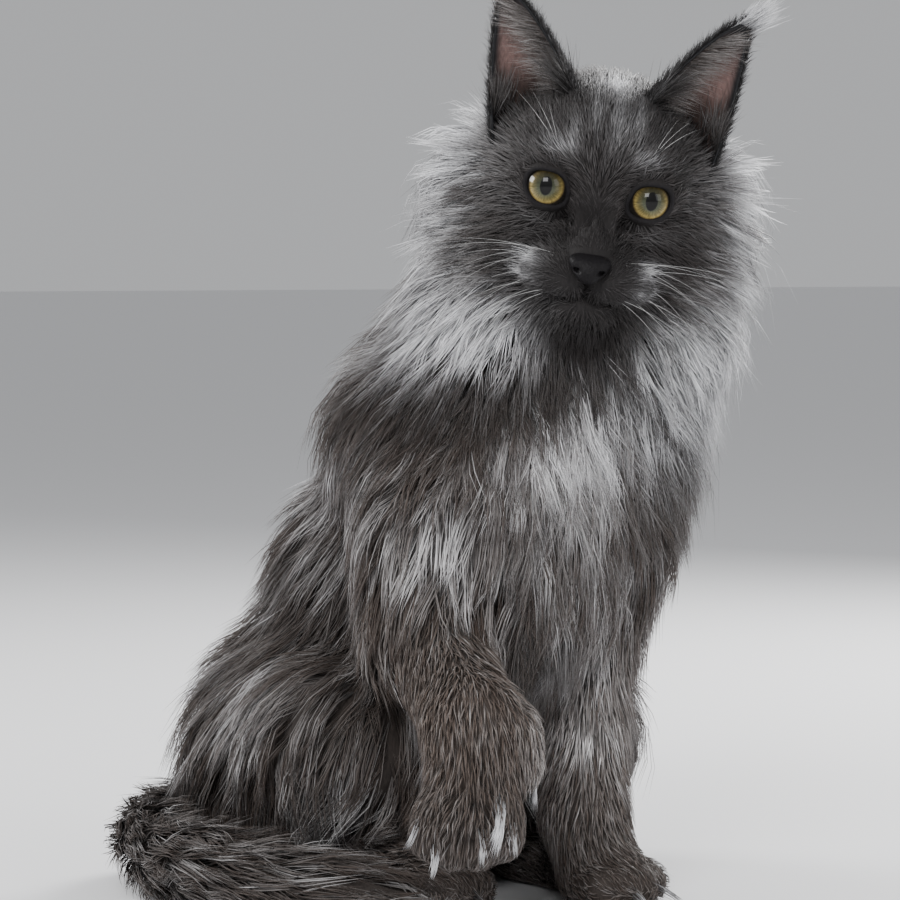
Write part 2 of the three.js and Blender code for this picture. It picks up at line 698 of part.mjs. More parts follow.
for (const [side, name] of [[-1, "ear_right"], [1, "ear_left"]]) {
  const [ear, tuft] = [headSolid(earGeometry(side)), headSolid(earTuft(side))];
  place(name, ear.add(tuft), swell(ear).add(swell(tuft)));
}

// Nose leather, wide at its top, with two comma-shaped nostrils
function noseSolid() {
  const g = new THREE.SphereGeometry(1, 12, 7);
  const p = g.attributes.position;
  for (let i = 0; i < p.count; i++) {
    const [x, y, z] = [p.getX(i), p.getY(i), p.getZ(i)];
    const narrow = 0.7 + 0.42 * z;
    p.setXYZ(i, x * NOSE_HALF_WIDTH * narrow, y * 6.5 + z * 1.2, z * (NOSE_HEIGHT / 2));
  }
  let made = headSolid(g.translate(0, -21.5, -31.5));
  for (const side of [-1, 1]) {
    const hole = new THREE.SphereGeometry(1, 8, 5);
    hole.scale(3, 4, 1.6);
    hole.rotateY(side * 0.35);
    made = made.subtract(headSolid(hole.translate(side * 6.2, -27.5, -30.5)));
  }
  return made;
}
const nose = noseSolid();
place("nose", nose, swell(nose));

flesh(
  "neck",
  [...head, ...neck, ...ruff, ...trunk],
  [flip(NECK_SEAM), CHEST_SEAM],
  boxGrid([-120, -160, 180], [120, 100, 400], 22),
);

const LEG_GRID = 12;
const PAW_GRID = 8;
const foreSides = [
  ["left", forelegLeft, LEFT_FORELEG_CELL, LEFT_WRIST_SEAM, [0, -20], 110],
  ["right", forelegRight, RIGHT_FORELEG_CELL, RIGHT_WRIST_SEAM, [-130, 0], 0],
];
for (const [side, own, planes, wrist, [low, floor], high] of foreSides) {
  const masses = [...trunk, ...own];
  const legGrid = boxGrid([low, -170, floor], [high, 40, 200], LEG_GRID);
  const pawGrid = boxGrid([low, -170, floor], [high, 0, 120], PAW_GRID);
  flesh(`front_leg_${side}`, masses, [...planes, wrist], legGrid);
  flesh(`front_paw_${side}`, masses, [...planes, flip(wrist)], pawGrid);
}
for (const [side, sign] of [["left", 1], ["right", -1]]) {
  const [low, high] = sign > 0 ? [10, 140] : [-140, -10];
  const grid = boxGrid([low, -70, -15], [high, 160, 160], 19);
  flesh(`hind_leg_${side}`, [...trunk, ...haunch(sign)], HAUNCH_CELLS[side], grid);
}
const footGrids = {
  left: boxGrid([20, -80, -15], [110, 110, 60], 8),
  right: boxGrid([-100, -100, -15], [0, 90, 60], 8),
};
for (const side of ["left", "right"]) flesh(`hind_foot_${side}`, hindFeet[side], [], footGrids[side]);

// Torso: what the legs' cells leave of the trunk
const upperBody = [...trunk, ...neck, ...ruff, ...haunch(1), ...haunch(-1), forelegLeft[0], forelegRight[0]];
const legCells = [LEFT_FORELEG_CELL, RIGHT_FORELEG_CELL, HAUNCH_CELLS.left, HAUNCH_CELLS.right];
flesh("torso", upperBody, [flip(CHEST_SEAM)], boxGrid([-130, -140, -12], [130, 190, 260], 23), {
  refine: (made) => legCells.reduce((a, planes) => a.subtract(cell(planes, -GAP / 2)), made),
});

const TAIL_CUTS = [0.36, 0.68];
const tailCut = (t) => [tailPoint(t), tailCurve.getTangent(t).toArray()];
const tailLengths = [
  ["tail_root", [tailCut(TAIL_CUTS[0]), [[-150, 0, 0], [-1, 0, 0]]], [-180, 60, -12], [40, 210, 90]],
  ["tail_middle", [flip(tailCut(TAIL_CUTS[0])), tailCut(TAIL_CUTS[1])], [-190, -60, -12], [-60, 190, 70]],
  ["tail_tip", [flip(tailCut(TAIL_CUTS[1]))], [-190, -130, -12], [-40, 60, 70]],
];
for (const [name, planes, low, high] of tailLengths) flesh(name, tail, planes, boxGrid(low, high, 13));

// The model
const LOOKS = {
  head: [0x3a3a3e, 0.9],
  nose: [0x141315, 0.45],
  eye: [0xa09a50, 0.15],
  ear: [0x4a4246, 0.9],
  neck: [0x9a9a9c, 0.95],
};
const COAT_LOOK = [0x54504e, 0.95];
const lookOf = (name) => {
  const kind = Object.keys(LOOKS).find((k) => name.startsWith(k));
  const [color, roughness] = kind ? LOOKS[kind] : COAT_LOOK;
  return new THREE.MeshStandardMaterial({ color, roughness, metalness: 0 });
};
// Every piece moved so that the origin is on the floor under the middle of the whole cat
const boxes = Object.values(solids).map((made) => made.boundingBox());
const middle = [0, 1].map((axis) => {
  const low = Math.min(...boxes.map((b) => b.min[axis]));
  const high = Math.max(...boxes.map((b) => b.max[axis]));
  return (low + high) / 2;
});
const onOrigin = (made) => {
  const moved = largest(made.translate([-middle[0], -middle[1], 0]));
  return largestBody(solid(geometryOf(moved), MERGE_DISTANCE / 2));
};
// Where folds of a piece touch at a corner, each fold's own corner is drawn a little into it
const PARTED = 6e-3;
function parted(g) {
  g.computeVertexNormals();
  const { position, normal } = g.attributes;
  const sharing = new Map();
  for (let i = 0; i < position.count; i++) {
    const key = [0, 1, 2].map((axis) => Math.round(position.array[i * 3 + axis] / MERGE_DISTANCE)).join();
    sharing.set(key, [...(sharing.get(key) ?? []), i]);
  }
  for (const corners of sharing.values())
    if (corners.length > 1)
      corners.forEach((i, order) => {
        const by = PARTED * (order + 1);
        for (const axis of [0, 1, 2]) position.array[i * 3 + axis] -= normal.array[i * 3 + axis] * by;
      });
  g.deleteAttribute("normal");
  return g;
}
const headPlace = headMatrix.clone().setPosition(HEAD_ASIDE - middle[0], -HEAD_FORWARD - middle[1], EYE_HEIGHT);
headGroup.position.setFromMatrixPosition(headPlace);
const cat = new THREE.Group();
cat.add(headGroup);
for (const [name, made] of Object.entries(solids)) {
  const g = parted(geometryOf(onOrigin(made)));
  const turned = /^(head|nose|eye|ear)/.test(name);
  if (turned) g.applyMatrix4(headPlace.clone().invert());
  const mesh = new THREE.Mesh(g, lookOf(name));
  mesh.name = name;
  (turned ? headGroup : cat).add(mesh);
}

export default cat;
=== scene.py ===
import math

import bpy
import numpy as np
from mathutils import Matrix, Vector
from mathutils.kdtree import KDTree


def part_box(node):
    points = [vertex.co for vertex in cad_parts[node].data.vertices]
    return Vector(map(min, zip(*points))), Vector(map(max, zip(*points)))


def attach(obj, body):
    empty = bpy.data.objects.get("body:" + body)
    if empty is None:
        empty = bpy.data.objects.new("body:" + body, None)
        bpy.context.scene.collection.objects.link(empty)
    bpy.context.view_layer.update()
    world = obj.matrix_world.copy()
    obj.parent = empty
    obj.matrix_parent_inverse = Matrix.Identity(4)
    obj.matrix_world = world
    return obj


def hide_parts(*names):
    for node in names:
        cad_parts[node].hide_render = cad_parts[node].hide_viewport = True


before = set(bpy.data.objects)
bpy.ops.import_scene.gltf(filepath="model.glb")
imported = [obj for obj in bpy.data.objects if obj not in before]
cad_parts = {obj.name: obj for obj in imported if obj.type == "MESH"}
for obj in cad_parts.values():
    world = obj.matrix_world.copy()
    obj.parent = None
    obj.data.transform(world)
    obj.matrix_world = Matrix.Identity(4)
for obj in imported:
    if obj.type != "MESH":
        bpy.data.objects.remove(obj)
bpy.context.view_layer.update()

MM = 0.001
SEED = 7

# The head's place and pose
EYE_HEIGHT = 332
HEAD_FORWARD = 116
HEAD_ASIDE = -13
HEAD_TURN = 35
HEAD_NOD = 7
HEAD_TILT = 8.5

# Eyes, ears and nose
EYE_SPACING = 45
EYEBALL_RADIUS = 11
EYE_DEPTH = 9.5
LID_THICKNESS = 1.7
ORBIT_RADIUS = 12
EAR_LENGTH = 52
EAR_HALF_WIDTH = 24.5
EAR_DEPTH = 16
EAR_THICKNESS = 2.4

# Camera, at the photograph's viewing angle
VIEW_AZIMUTH = -35
VIEW_ELEVATION = 3
VIEW_DISTANCE = 1700
VIEW_TARGET = (-12, 0, 214)
VIEW_WIDTH = 423


def turn(axis, degrees):
    return np.array(Matrix.Rotation(math.radians(degrees), 3, axis))


HEAD_ORIGIN = np.array([HEAD_ASIDE, -HEAD_FORWARD, EYE_HEIGHT], float)
HEAD_AXES = turn("Z", -HEAD_TURN) @ turn("Y", HEAD_TILT) @ turn("X", HEAD_NOD)


def to_head(points):
    return (np.asarray(points, float) - HEAD_ORIGIN) @ HEAD_AXES


def from_head(points):
    return np.asarray(points, float) @ HEAD_AXES.T + HEAD_ORIGIN


def unit(vectors):
    vectors = np.asarray(vectors, float)
    return vectors / np.maximum(np.linalg.norm(vectors, axis=-1, keepdims=True), 1e-9)


def mix(a, b, t):
    return a + (b - a) * t


def smooth_step(low, high, x):
    t = np.clip((x - low) / (high - low), 0, 1)
    return t * t * (3 - 2 * t)


# The layout's origin in the frame, from the left eye, which both have
eye_low, eye_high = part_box("eye_left")
eye_in_layout = from_head([EYE_SPACING / 2, EYE_DEPTH, 0])
LAYOUT_SHIFT = np.array([*((eye_low + eye_high) / 2)]) - eye_in_layout * MM
LAYOUT_SHIFT[2] = 0


def to_frame(points):
    return np.asarray(points, float) * MM + LAYOUT_SHIFT


# Camera
SENSOR_WIDTH = 36
azimuth, elevation = math.radians(VIEW_AZIMUTH), math.radians(VIEW_ELEVATION)
back = Vector(
    (
        math.sin(azimuth) * math.cos(elevation),
        -math.cos(azimuth) * math.cos(elevation),
        math.sin(elevation),
    )
)
camera = bpy.data.objects.new("camera", bpy.data.cameras.new("camera"))
bpy.context.scene.collection.objects.link(camera)
bpy.context.scene.camera = camera
camera.data.sensor_width = SENSOR_WIDTH
camera.data.lens = SENSOR_WIDTH * VIEW_DISTANCE / VIEW_WIDTH
camera.location = Vector(to_frame(VIEW_TARGET)) + back * VIEW_DISTANCE * MM
camera.rotation_euler = (-back).to_track_quat("-Z", "Y").to_euler()


# Masses of flesh. coat is the depth of the coat's outline over the flesh, under how far the skin lies below
# that outline, hair the length of a hair, silver the share of pale hairs, shade how bright the dark ones
# are, brown how warm they are, and curl how far a hair waves
COAT = dict(blend=20, coat=18, under=13, hair=46, silver=0.3, shade=0.5, brown=0.5, curl=1.0, kind="body")
FACE = dict(blend=7, coat=3, under=1.6, hair=7, silver=0.08, shade=0.28, brown=0.15, curl=0.1, kind="face")
BIB = dict(coat=26, under=20, hair=52, silver=0.72, shade=0.7, brown=0.3, curl=3, kind="ruff")
RUFF = dict(coat=0, under=25, hair=50, silver=0.97, shade=0.95, brown=0.15, curl=1.8, kind="ruff")
ARM = dict(blend=16, coat=12, under=9, hair=32, silver=0.34, shade=0.55, brown=0.7, curl=0.6)
LEG = dict(blend=10, coat=6, under=4.5, hair=16, silver=0.3, shade=0.5, brown=0.8, curl=0.3, kind="legs")
PAW = dict(LEG, coat=3.4, under=2.2, hair=7, silver=0.2, shade=0.45, brown=0.7)
BRITCH = dict(coat=20, under=15, hair=50, silver=0.25, shade=0.42, brown=0.6, curl=1.2)
TAIL = dict(blend=6, under=12, hair=44, silver=0.22, shade=0.38, brown=0.6, curl=0.6, kind="tail")
masses = []


def limb(a, b, ra, rb, lie, in_head=False, **style):
    """A tapering limb of radius ra at a and rb at b."""
    whole = {**(FACE if in_head else COAT), **style}
    lie = HEAD_AXES @ unit(lie) if in_head else unit(lie)
    shape = (np.array(a, float), np.array(b, float), ra, rb)
    masses.append(dict(whole, shape=shape, lie=lie, in_head=in_head))


def oval(centre, radii, lie, **style):
    """An ellipsoid in the head's own axes."""
    shape = (np.array(centre, float), np.array(radii, float))
    masses.append(dict({**FACE, **style}, shape=shape, lie=HEAD_AXES @ unit(lie), in_head=True))


def limb_distance(p, a, b, ra, rb):
    """Distance from points to a tapering limb of radius ra at a and rb at b."""
    along = b - a
    t = np.clip((p - a) @ along / max(along @ along, 1e-9), 0, 1)
    return np.linalg.norm(p - a - t[:, None] * along, axis=1) - mix(ra, rb, t)


def distance_to(mass, points, in_head):
    p = in_head if mass["in_head"] else points
    if len(mass["shape"]) == 4:
        return limb_distance(p, *mass["shape"])
    centre, radii = mass["shape"]
    q = p - centre
    k0 = np.sqrt((q**2) @ (1 / radii**2))
    k1 = np.sqrt((q**2) @ (1 / radii**4))
    return k0 * (k0 - 1) / np.maximum(k1, 1e-6)


def smooth_union(a, b, k):
    h = np.maximum(k - np.abs(a - b), 0) / k
    return np.minimum(a, b) - h * h * k / 4


def smooth_cut(a, b, k):
    """What is inside a and not inside b."""
    return -smooth_union(-a, b, k)


# Head: crown, forehead, bridge and tip of the nose, muzzle, chin and throat, then what comes in pairs
crown = dict(coat=5, under=2.5, hair=15, silver=0.13, shade=0.34, brown=0.25)
bridge = dict(coat=2, under=1.2, blend=5, hair=5, silver=0.04)
nose_tip = dict(bridge, under=1, blend=4, hair=3, silver=0)
pad = dict(coat=2.5, under=1.3, blend=3, hair=5)
jowl = dict(coat=4, under=2.2, hair=10, silver=0.12)
cheek = dict(coat=10, under=7, hair=24, silver=0.34, shade=0.54, curl=0.4, brown=0.35, kind="ruff")
oval((0, 40, 12), (38, 42, 31), (0, 1, 0.1), **crown)
oval((0, 24, 20), (26, 22, 22), (0, 0.6, 0.8), coat=4, under=2, hair=9, silver=0.16)
limb((0, 12, 8), (0, -8, -20), 10, 8.5, (0, 0.3, 0.95), True, **bridge)
limb((0, -12, -27), (0, -12, -27.1), 8.5, 8.5, (0, 0.3, 0.95), True, **nose_tip)
oval((0, 5, -34), (24, 15, 13), (0, 1, 0), silver=0.08)
oval((0, -4, -49.5), (12.5, 10, 7.5), (0, 0.7, -0.7), blend=4, hair=9, silver=0.05, shade=0.3)
limb((0, 4, -46), (0, 30, -44), 11, 14, (0, 0.7, -0.7), True, coat=5, under=3, hair=16, silver=0.15)
for side in (-1, 1):
    oval((side * 13.5, -8, -36.5), (14.5, 12.5, 9.5), (side, 0.7, -0.2), **pad)
    oval((side * 20, 17, 14), (12, 10, 8), (side * 0.5, 0.5, 0.7), silver=0.15)
    oval((side * 25, 24, -12), (16, 17, 16), (side * 0.8, 0.6, -0.3), **jowl)
    oval((side * 32, 37, -14), (16, 20, 22), (side * 0.8, 0.5, -0.6), **cheek)
    limb((side * 9, 14, -42), (side * 27, 44, -32), 9, 15, (side * 0.6, 0.4, -0.8), True, **cheek)

# Neck and ruff
NAPE = from_head([0, 62, -2])
THROAT = from_head([0, 50, -46])
WITHERS = (0, 2, 236)
BREAST = (6, -38, 214)
limb(NAPE, WITHERS, 33, 38, (0, 0.7, -0.7), coat=20, under=15, silver=0.45)
limb(THROAT, BREAST, 24, 36, (0, -0.35, -0.95), **BIB)
fan = dict(RUFF, blend=12)
for side in (-1, 1):
    oval((side * 42, 60, -6), (45, 33, 44), (side * 0.75, 0.55, -0.3), **fan)
    oval((side * 40, 52, -50), (46, 34, 44), (side * 0.6, 0.1, -0.8), **fan)
limb(from_head([26, 44, -58]), (46, -56, 224), 42, 48, (0.55, 0, -0.83), **RUFF)
limb(from_head([-26, 44, -58]), (-32, -22, 232), 42, 50, (-0.55, 0, -0.83), **RUFF)

# Trunk
SHOULDER_LEFT = (42, -42, 180)
SHOULDER_RIGHT = (-46, -44, 182)
limb((-12, 98, 62), (-10, 74, 84), 42, 46, (0, 0.5, -0.85))
limb((-10, 80, 88), (-6, 48, 142), 46, 49, (0, 0.5, -0.85))
limb((-5, 46, 144), (0, 0, 202), 50, 47, (0, 0.5, -0.85))
limb((0, 16, 220), (0, -22, 222), 38, 36, (0, 0.4, -0.9))
limb((0, -36, 204), (0, -36, 168), 40, 34, (0, -0.15, -1), **dict(BIB, silver=0.36, brown=0.6, curl=1.6))
limb((0, -12, 158), (-6, 36, 74), 42, 46, (0, -0.1, -1), silver=0.2)
limb((38, 2, 224), SHOULDER_LEFT, 22, 28, (0.2, 0.3, -0.9))
limb((-40, 2, 224), SHOULDER_RIGHT, 22, 28, (-0.2, 0.3, -0.9))


def paw_toes(knuckles, forward, aside, spread, radius, **style):
    """Four toes across a paw, longer at its middle."""
    knuckles = np.array(knuckles, float)
    forward = unit(forward)
    aside = unit(aside)
    style = {**PAW, **style}
    limb(knuckles, knuckles + forward * 4, radius * 1.35, radius * 1.3, forward, **dict(style, blend=8))
    for place in (-1, -0.34, 0.34, 1):
        base = knuckles + aside * place * spread * 0.75
        tip = base + forward * (15 - 4.5 * place * place) + aside * place * 2
        limb(base, tip, radius * 0.82, radius * 0.72, forward, **dict(style, blend=2.6))


# Forelegs
ELBOW_LEFT = (46, -26, 130)
WRIST_LEFT = (32, -46, 46)
limb(SHOULDER_LEFT, ELBOW_LEFT, 27, 23, (0, 0.2, -1), **ARM)
limb(ELBOW_LEFT, WRIST_LEFT, 20, 14.5, (0, 0.15, -1), **dict(LEG, coat=8, under=6, hair=24, silver=0.4))
limb(WRIST_LEFT, (33, -56, 18), 14.5, 15, (0, 0.15, -1), **LEG)
paw_toes((34, -64, 15), (0.1, -1, -0.1), (1, 0.1, 0), 16, 11)
ELBOW_RIGHT = (-54, -42, 132)
WRIST_RIGHT = (-73, -106, 99)
limb(SHOULDER_RIGHT, ELBOW_RIGHT, 28, 24, (-0.1, 0.1, -1), **ARM)
limb(ELBOW_RIGHT, WRIST_RIGHT, 20, 17, (-0.2, -0.6, -0.8), **dict(LEG, silver=0.25))
limb(WRIST_RIGHT, (-78, -112, 72), 17, 17, (-0.1, 0, -1), **dict(LEG, silver=0.15, brown=1))
paw_toes((-81, -113, 62), (-0.06, 0.12, -1), (0.82, -0.57, 0), 17, 11.5, hair=8)
limb((-59, -115, 95), (-56, -117, 81), 9, 6, (0.1, -0.2, -1), **dict(LEG, hair=11, silver=0.6, brown=1))

# Hind legs and feet
for side in (-1, 1):
    thigh = dict(BRITCH, coat=18, under=13)
    limb((side * 34 - 6, 84, 76), (side * 60 - 4, 6, 82), 42, 27, (side * 0.15, 0.35, -1), **thigh)
    limb((side * 57 - 4, 8, 74), (side * 46 - 4, 70, 38), 25, 22, (side * 0.2, 0.3, -1), **BRITCH)
    limb((side * 44 - 6, 92, 52), (side * 46 - 6, 80, 34), 34, 24, (side * 0.25, 0.5, -0.9), **BRITCH)
for heel, toe in (((54, 66, 17), (58, -14, 15)), ((-54, 48, 17), (-46, -36, 15))):
    ahead = np.subtract(toe, heel)
    limb(heel, toe, 15, 13.5, ahead, **dict(LEG, blend=8))
    paw_toes(toe, ahead, (1, 0, 0), 14, 10.5, coat=5)

# Tail
TAIL_ROUTE = (
    (-10, 130, 40),
    (-34, 150, 27),
    (-74, 146, 25),
    (-108, 112, 24),
    (-122, 62, 23),
    (-122, 10, 22),
    (-108, -40, 20),
    (-86, -70, 17),
)
TAIL_RADII = (13, 9.5, 8.5, 8, 7, 6, 4.5, 3)
TAIL_COAT = 17
TAIL_STEPS = 14


def tail_point(t):
    """A place on the smooth line through the tail's route."""
    route = np.array(TAIL_ROUTE, float)
    place = t * (len(route) - 1)
    i = min(int(place), len(route) - 2)
    f = place - i
    before = route[i - 1] if i > 0 else 2 * route[0] - route[1]
    after = route[i + 2] if i + 2 < len(route) else 2 * route[-1] - route[-2]
    a, b = route[i], route[i + 1]
    ma, mb = (b - before) / 2, (after - a) / 2
    return (
        (2 * f**3 - 3 * f**2 + 1) * a
        + (f**3 - 2 * f**2 + f) * ma
        + (3 * f**2 - 2 * f**3) * b
        + (f**3 - f**2) * mb
    )


for i in range(TAIL_STEPS):
    near_end, far_end = i / TAIL_STEPS, (i + 1) / TAIL_STEPS
    radii = np.interp([near_end, far_end], np.linspace(0, 1, len(TAIL_RADII)), TAIL_RADII)
    depth = TAIL_COAT * min(0.45 + near_end * 1.2, 1) * (0.8 if i == TAIL_STEPS - 1 else 1)
    a, b = tail_point(near_end), tail_point(far_end)
    limb(a, b, *radii, b - a, **dict(TAIL, coat=depth, under=depth * 0.7))


# Eyes, in the head's axes. The face is carved back in front of each, and the lids close round it
def eye_centre(side):
    return np.array([side * EYE_SPACING / 2, EYE_DEPTH, 0.0])


def gaze(side):
    return unit([side * 0.1, -1, 0.02])


def eye_axes(side):
    forward = gaze(side)
    aside = unit(np.cross(forward, [0, 0, 1]))
    return aside, np.cross(aside, forward), forward


# Opening between the lids: its edge is an angle from the gaze, drawn out at its two corners
LID_ANGLE = 48
UPPER_LID_DROP = 12
LOWER_LID_RISE = 3
INNER_CORNER = math.radians(38)
INNER_REACH = 17
OUTER_CORNER = math.radians(22)
OUTER_REACH = 9


def lid_angle(side, c, s):
    """Angle between the gaze and the edge of the lids, in degrees, in a direction across and up the eye."""
    # The inner corner is drawn out downwards to the nose, the outer one a little upwards
    nosewards = -c * side * np.sign(eye_axes(side)[0][0])
    inner = np.maximum(nosewards * math.cos(INNER_CORNER) - s * math.sin(INNER_CORNER), 0)
    outer = np.maximum(s * math.sin(OUTER_CORNER) - nosewards * math.cos(OUTER_CORNER), 0)
    drawn = INNER_REACH * inner**8 + OUTER_REACH * outer**4
    upper = UPPER_LID_DROP * np.maximum(s, 0) ** 2
    lower = LOWER_LID_RISE * np.maximum(-s, 0) ** 2
    return LID_ANGLE + drawn - upper - lower


def lid_opening(side, q):
    """How far outside the opening between the lids a point is, in millimetres on the eyeball."""
    aside, up, forward = eye_axes(side)
    r = q - eye_centre(side)
    across, height, ahead = r @ aside, r @ up, r @ forward
    angle = np.degrees(np.arctan2(np.hypot(across, height), ahead))
    size = np.maximum(np.hypot(across, height), 1e-6)
    edge = lid_angle(side, across / size, height / size)
    return np.radians(angle - edge) * EYEBALL_RADIUS


# The lids' edge, a ring round each opening: steps of angle out from its edge and of height over the eye
LID_RINGS = ((0, -0.3), (0, 0.9), (1.5, 1.4), (5, 1.75), (12, 1.9), (22, 1.5), (30, -0.5), (16, -1.5))
LID_STEPS = 140


def lid_mesh(side):
    aside, up, forward = eye_axes(side)
    turns = np.linspace(0, 2 * math.pi, LID_STEPS, endpoint=False)
    c, s = np.cos(turns), np.sin(turns)
    out = c[:, None] * aside + s[:, None] * up
    rings = []
    for spread, lift in LID_RINGS:
        angle = np.radians(lid_angle(side, c, s) + spread)[:, None]
        ray = np.cos(angle) * forward + np.sin(angle) * out
        rings.append(eye_centre(side) + ray * (EYEBALL_RADIUS + lift))
    number = np.arange(len(rings) * LID_STEPS).reshape(len(rings), LID_STEPS)
    below, ahead = np.roll(number, -1, axis=0), np.roll(number, -1, axis=1)
    faces = np.stack([number, ahead, np.roll(below, -1, axis=1), below], axis=-1).reshape(-1, 4)
    if np.linalg.det(np.array([aside, up, forward])) > 0:
        faces = faces[:, ::-1]
    return from_head(np.concatenate(rings)), faces


# Socket and lids of the skin
EYE_FUR = 1.2
LID_OVERLAP = 1.2
SOCKET_BLEND = 4
LID_BLEND = 2.5
LID_EDGE_BLEND = 0.8
NO_OPENING = 9


def carve_eyes(d, q, share):
    fur = np.broadcast_to(EYE_FUR * share, d.shape)
    for side in (-1, 1):
        r = q - eye_centre(side)
        radius = np.linalg.norm(r, axis=1)
        near = radius < EYEBALL_RADIUS * 3
        if not near.any():
            continue
        forward = gaze(side)
        ahead = r[near] @ forward
        aside = np.linalg.norm(r[near] - ahead[:, None] * forward, axis=1)
        beyond = radius[near] - EYEBALL_RADIUS - LID_THICKNESS - fur[near]
        socket = np.minimum(np.minimum(beyond, ORBIT_RADIUS - aside), ahead)
        value = smooth_cut(d[near], -socket, SOCKET_BLEND)
        value = smooth_union(value, beyond, LID_BLEND)
        opening = np.where(ahead > 0, lid_opening(side, q[near]) - LID_OVERLAP, NO_OPENING)
        d[near] = smooth_cut(value, opening, LID_EDGE_BLEND)
    return d


# Line of the mouth, mirrored from one half, and the cleft under the nose, both shallow grooves
MOUTH_HALF = ((0, -44), (6, -46.8), (12, -45.8), (18, -44.2), (24, -45))
MOUTH = tuple((-x, z) for x, z in MOUTH_HALF[:0:-1]) + MOUTH_HALF
CLEFT = ((0, -36), (0, -44.5))
GROOVE_RADIUS = 1.1
GROOVE_DEPTH = 1.7
MUZZLE_WIDTH = 30
MUZZLE_BACK = 6
MUZZLE_HEIGHTS = (-54, -32)


def carve_mouth(d, q):
    near = (np.abs(q[:, 0]) < MUZZLE_WIDTH) & (q[:, 1] < MUZZLE_BACK) & (np.abs(d) < 6)
    near &= (q[:, 2] > MUZZLE_HEIGHTS[0]) & (q[:, 2] < MUZZLE_HEIGHTS[1])
    if not near.any():
        return d
    flat = q[near][:, [0, 2]]
    groove = np.full(len(flat), 1e3)
    for line in (MOUTH, CLEFT):
        for a, b in zip(np.array(line[:-1], float), np.array(line[1:], float)):
            groove = np.minimum(groove, limb_distance(flat, a, b, 0, 0))
    d[near] += GROOVE_DEPTH * np.exp(-((groove / GROOVE_RADIUS) ** 2))
    return d


def field(points, share, head_detail=True):
    """Distance to the surface that is share of the way from the skin, 0, to the coat's outline, 1."""
    q = to_head(points)
    d = None
    for mass in masses:
        level = mass["coat"] - mass["under"] * (1 - share)
        value = distance_to(mass, points, q) - level
        d = value if d is None else smooth_union(d, value, mass["blend"])
    if head_detail:
        d = carve_eyes(d, q, share)
        d = carve_mouth(d, q)
    return d


def slope(points, share, head_detail=True):
    step = 0.4
    parts = []
    for axis in np.eye(3) * step:
        parts.append(field(points + axis, share, head_detail) - field(points - axis, share, head_detail))
    return unit(np.stack(parts, axis=1))


STYLES = ("hair", "silver", "shade", "brown", "curl", "under")
KINDS = ("face", "legs", "body", "ruff", "tail")
STYLE_REACH = 6


def coat_at(points):
    """The coat's style at points on the skin: the masses' own, averaged by how near they are."""
    q = to_head(points)
    weights = []
    for mass in masses:
        gap = distance_to(mass, points, q) - mass["coat"] + mass["under"]
        weights.append(np.exp(-np.maximum(gap, -12) / STYLE_REACH))
    weights = np.array(weights) / np.sum(weights, axis=0)
    style = {}
    for name in STYLES:
        style[name] = np.array([mass[name] for mass in masses], float) @ weights
    style["lie"] = unit(weights.T @ np.array([mass["lie"] for mass in masses]))
    kinds = np.array([[mass["kind"] == kind for mass in masses] for kind in KINDS], float) @ weights
    style["kind"] = np.argmax(kinds, axis=0)
    return style


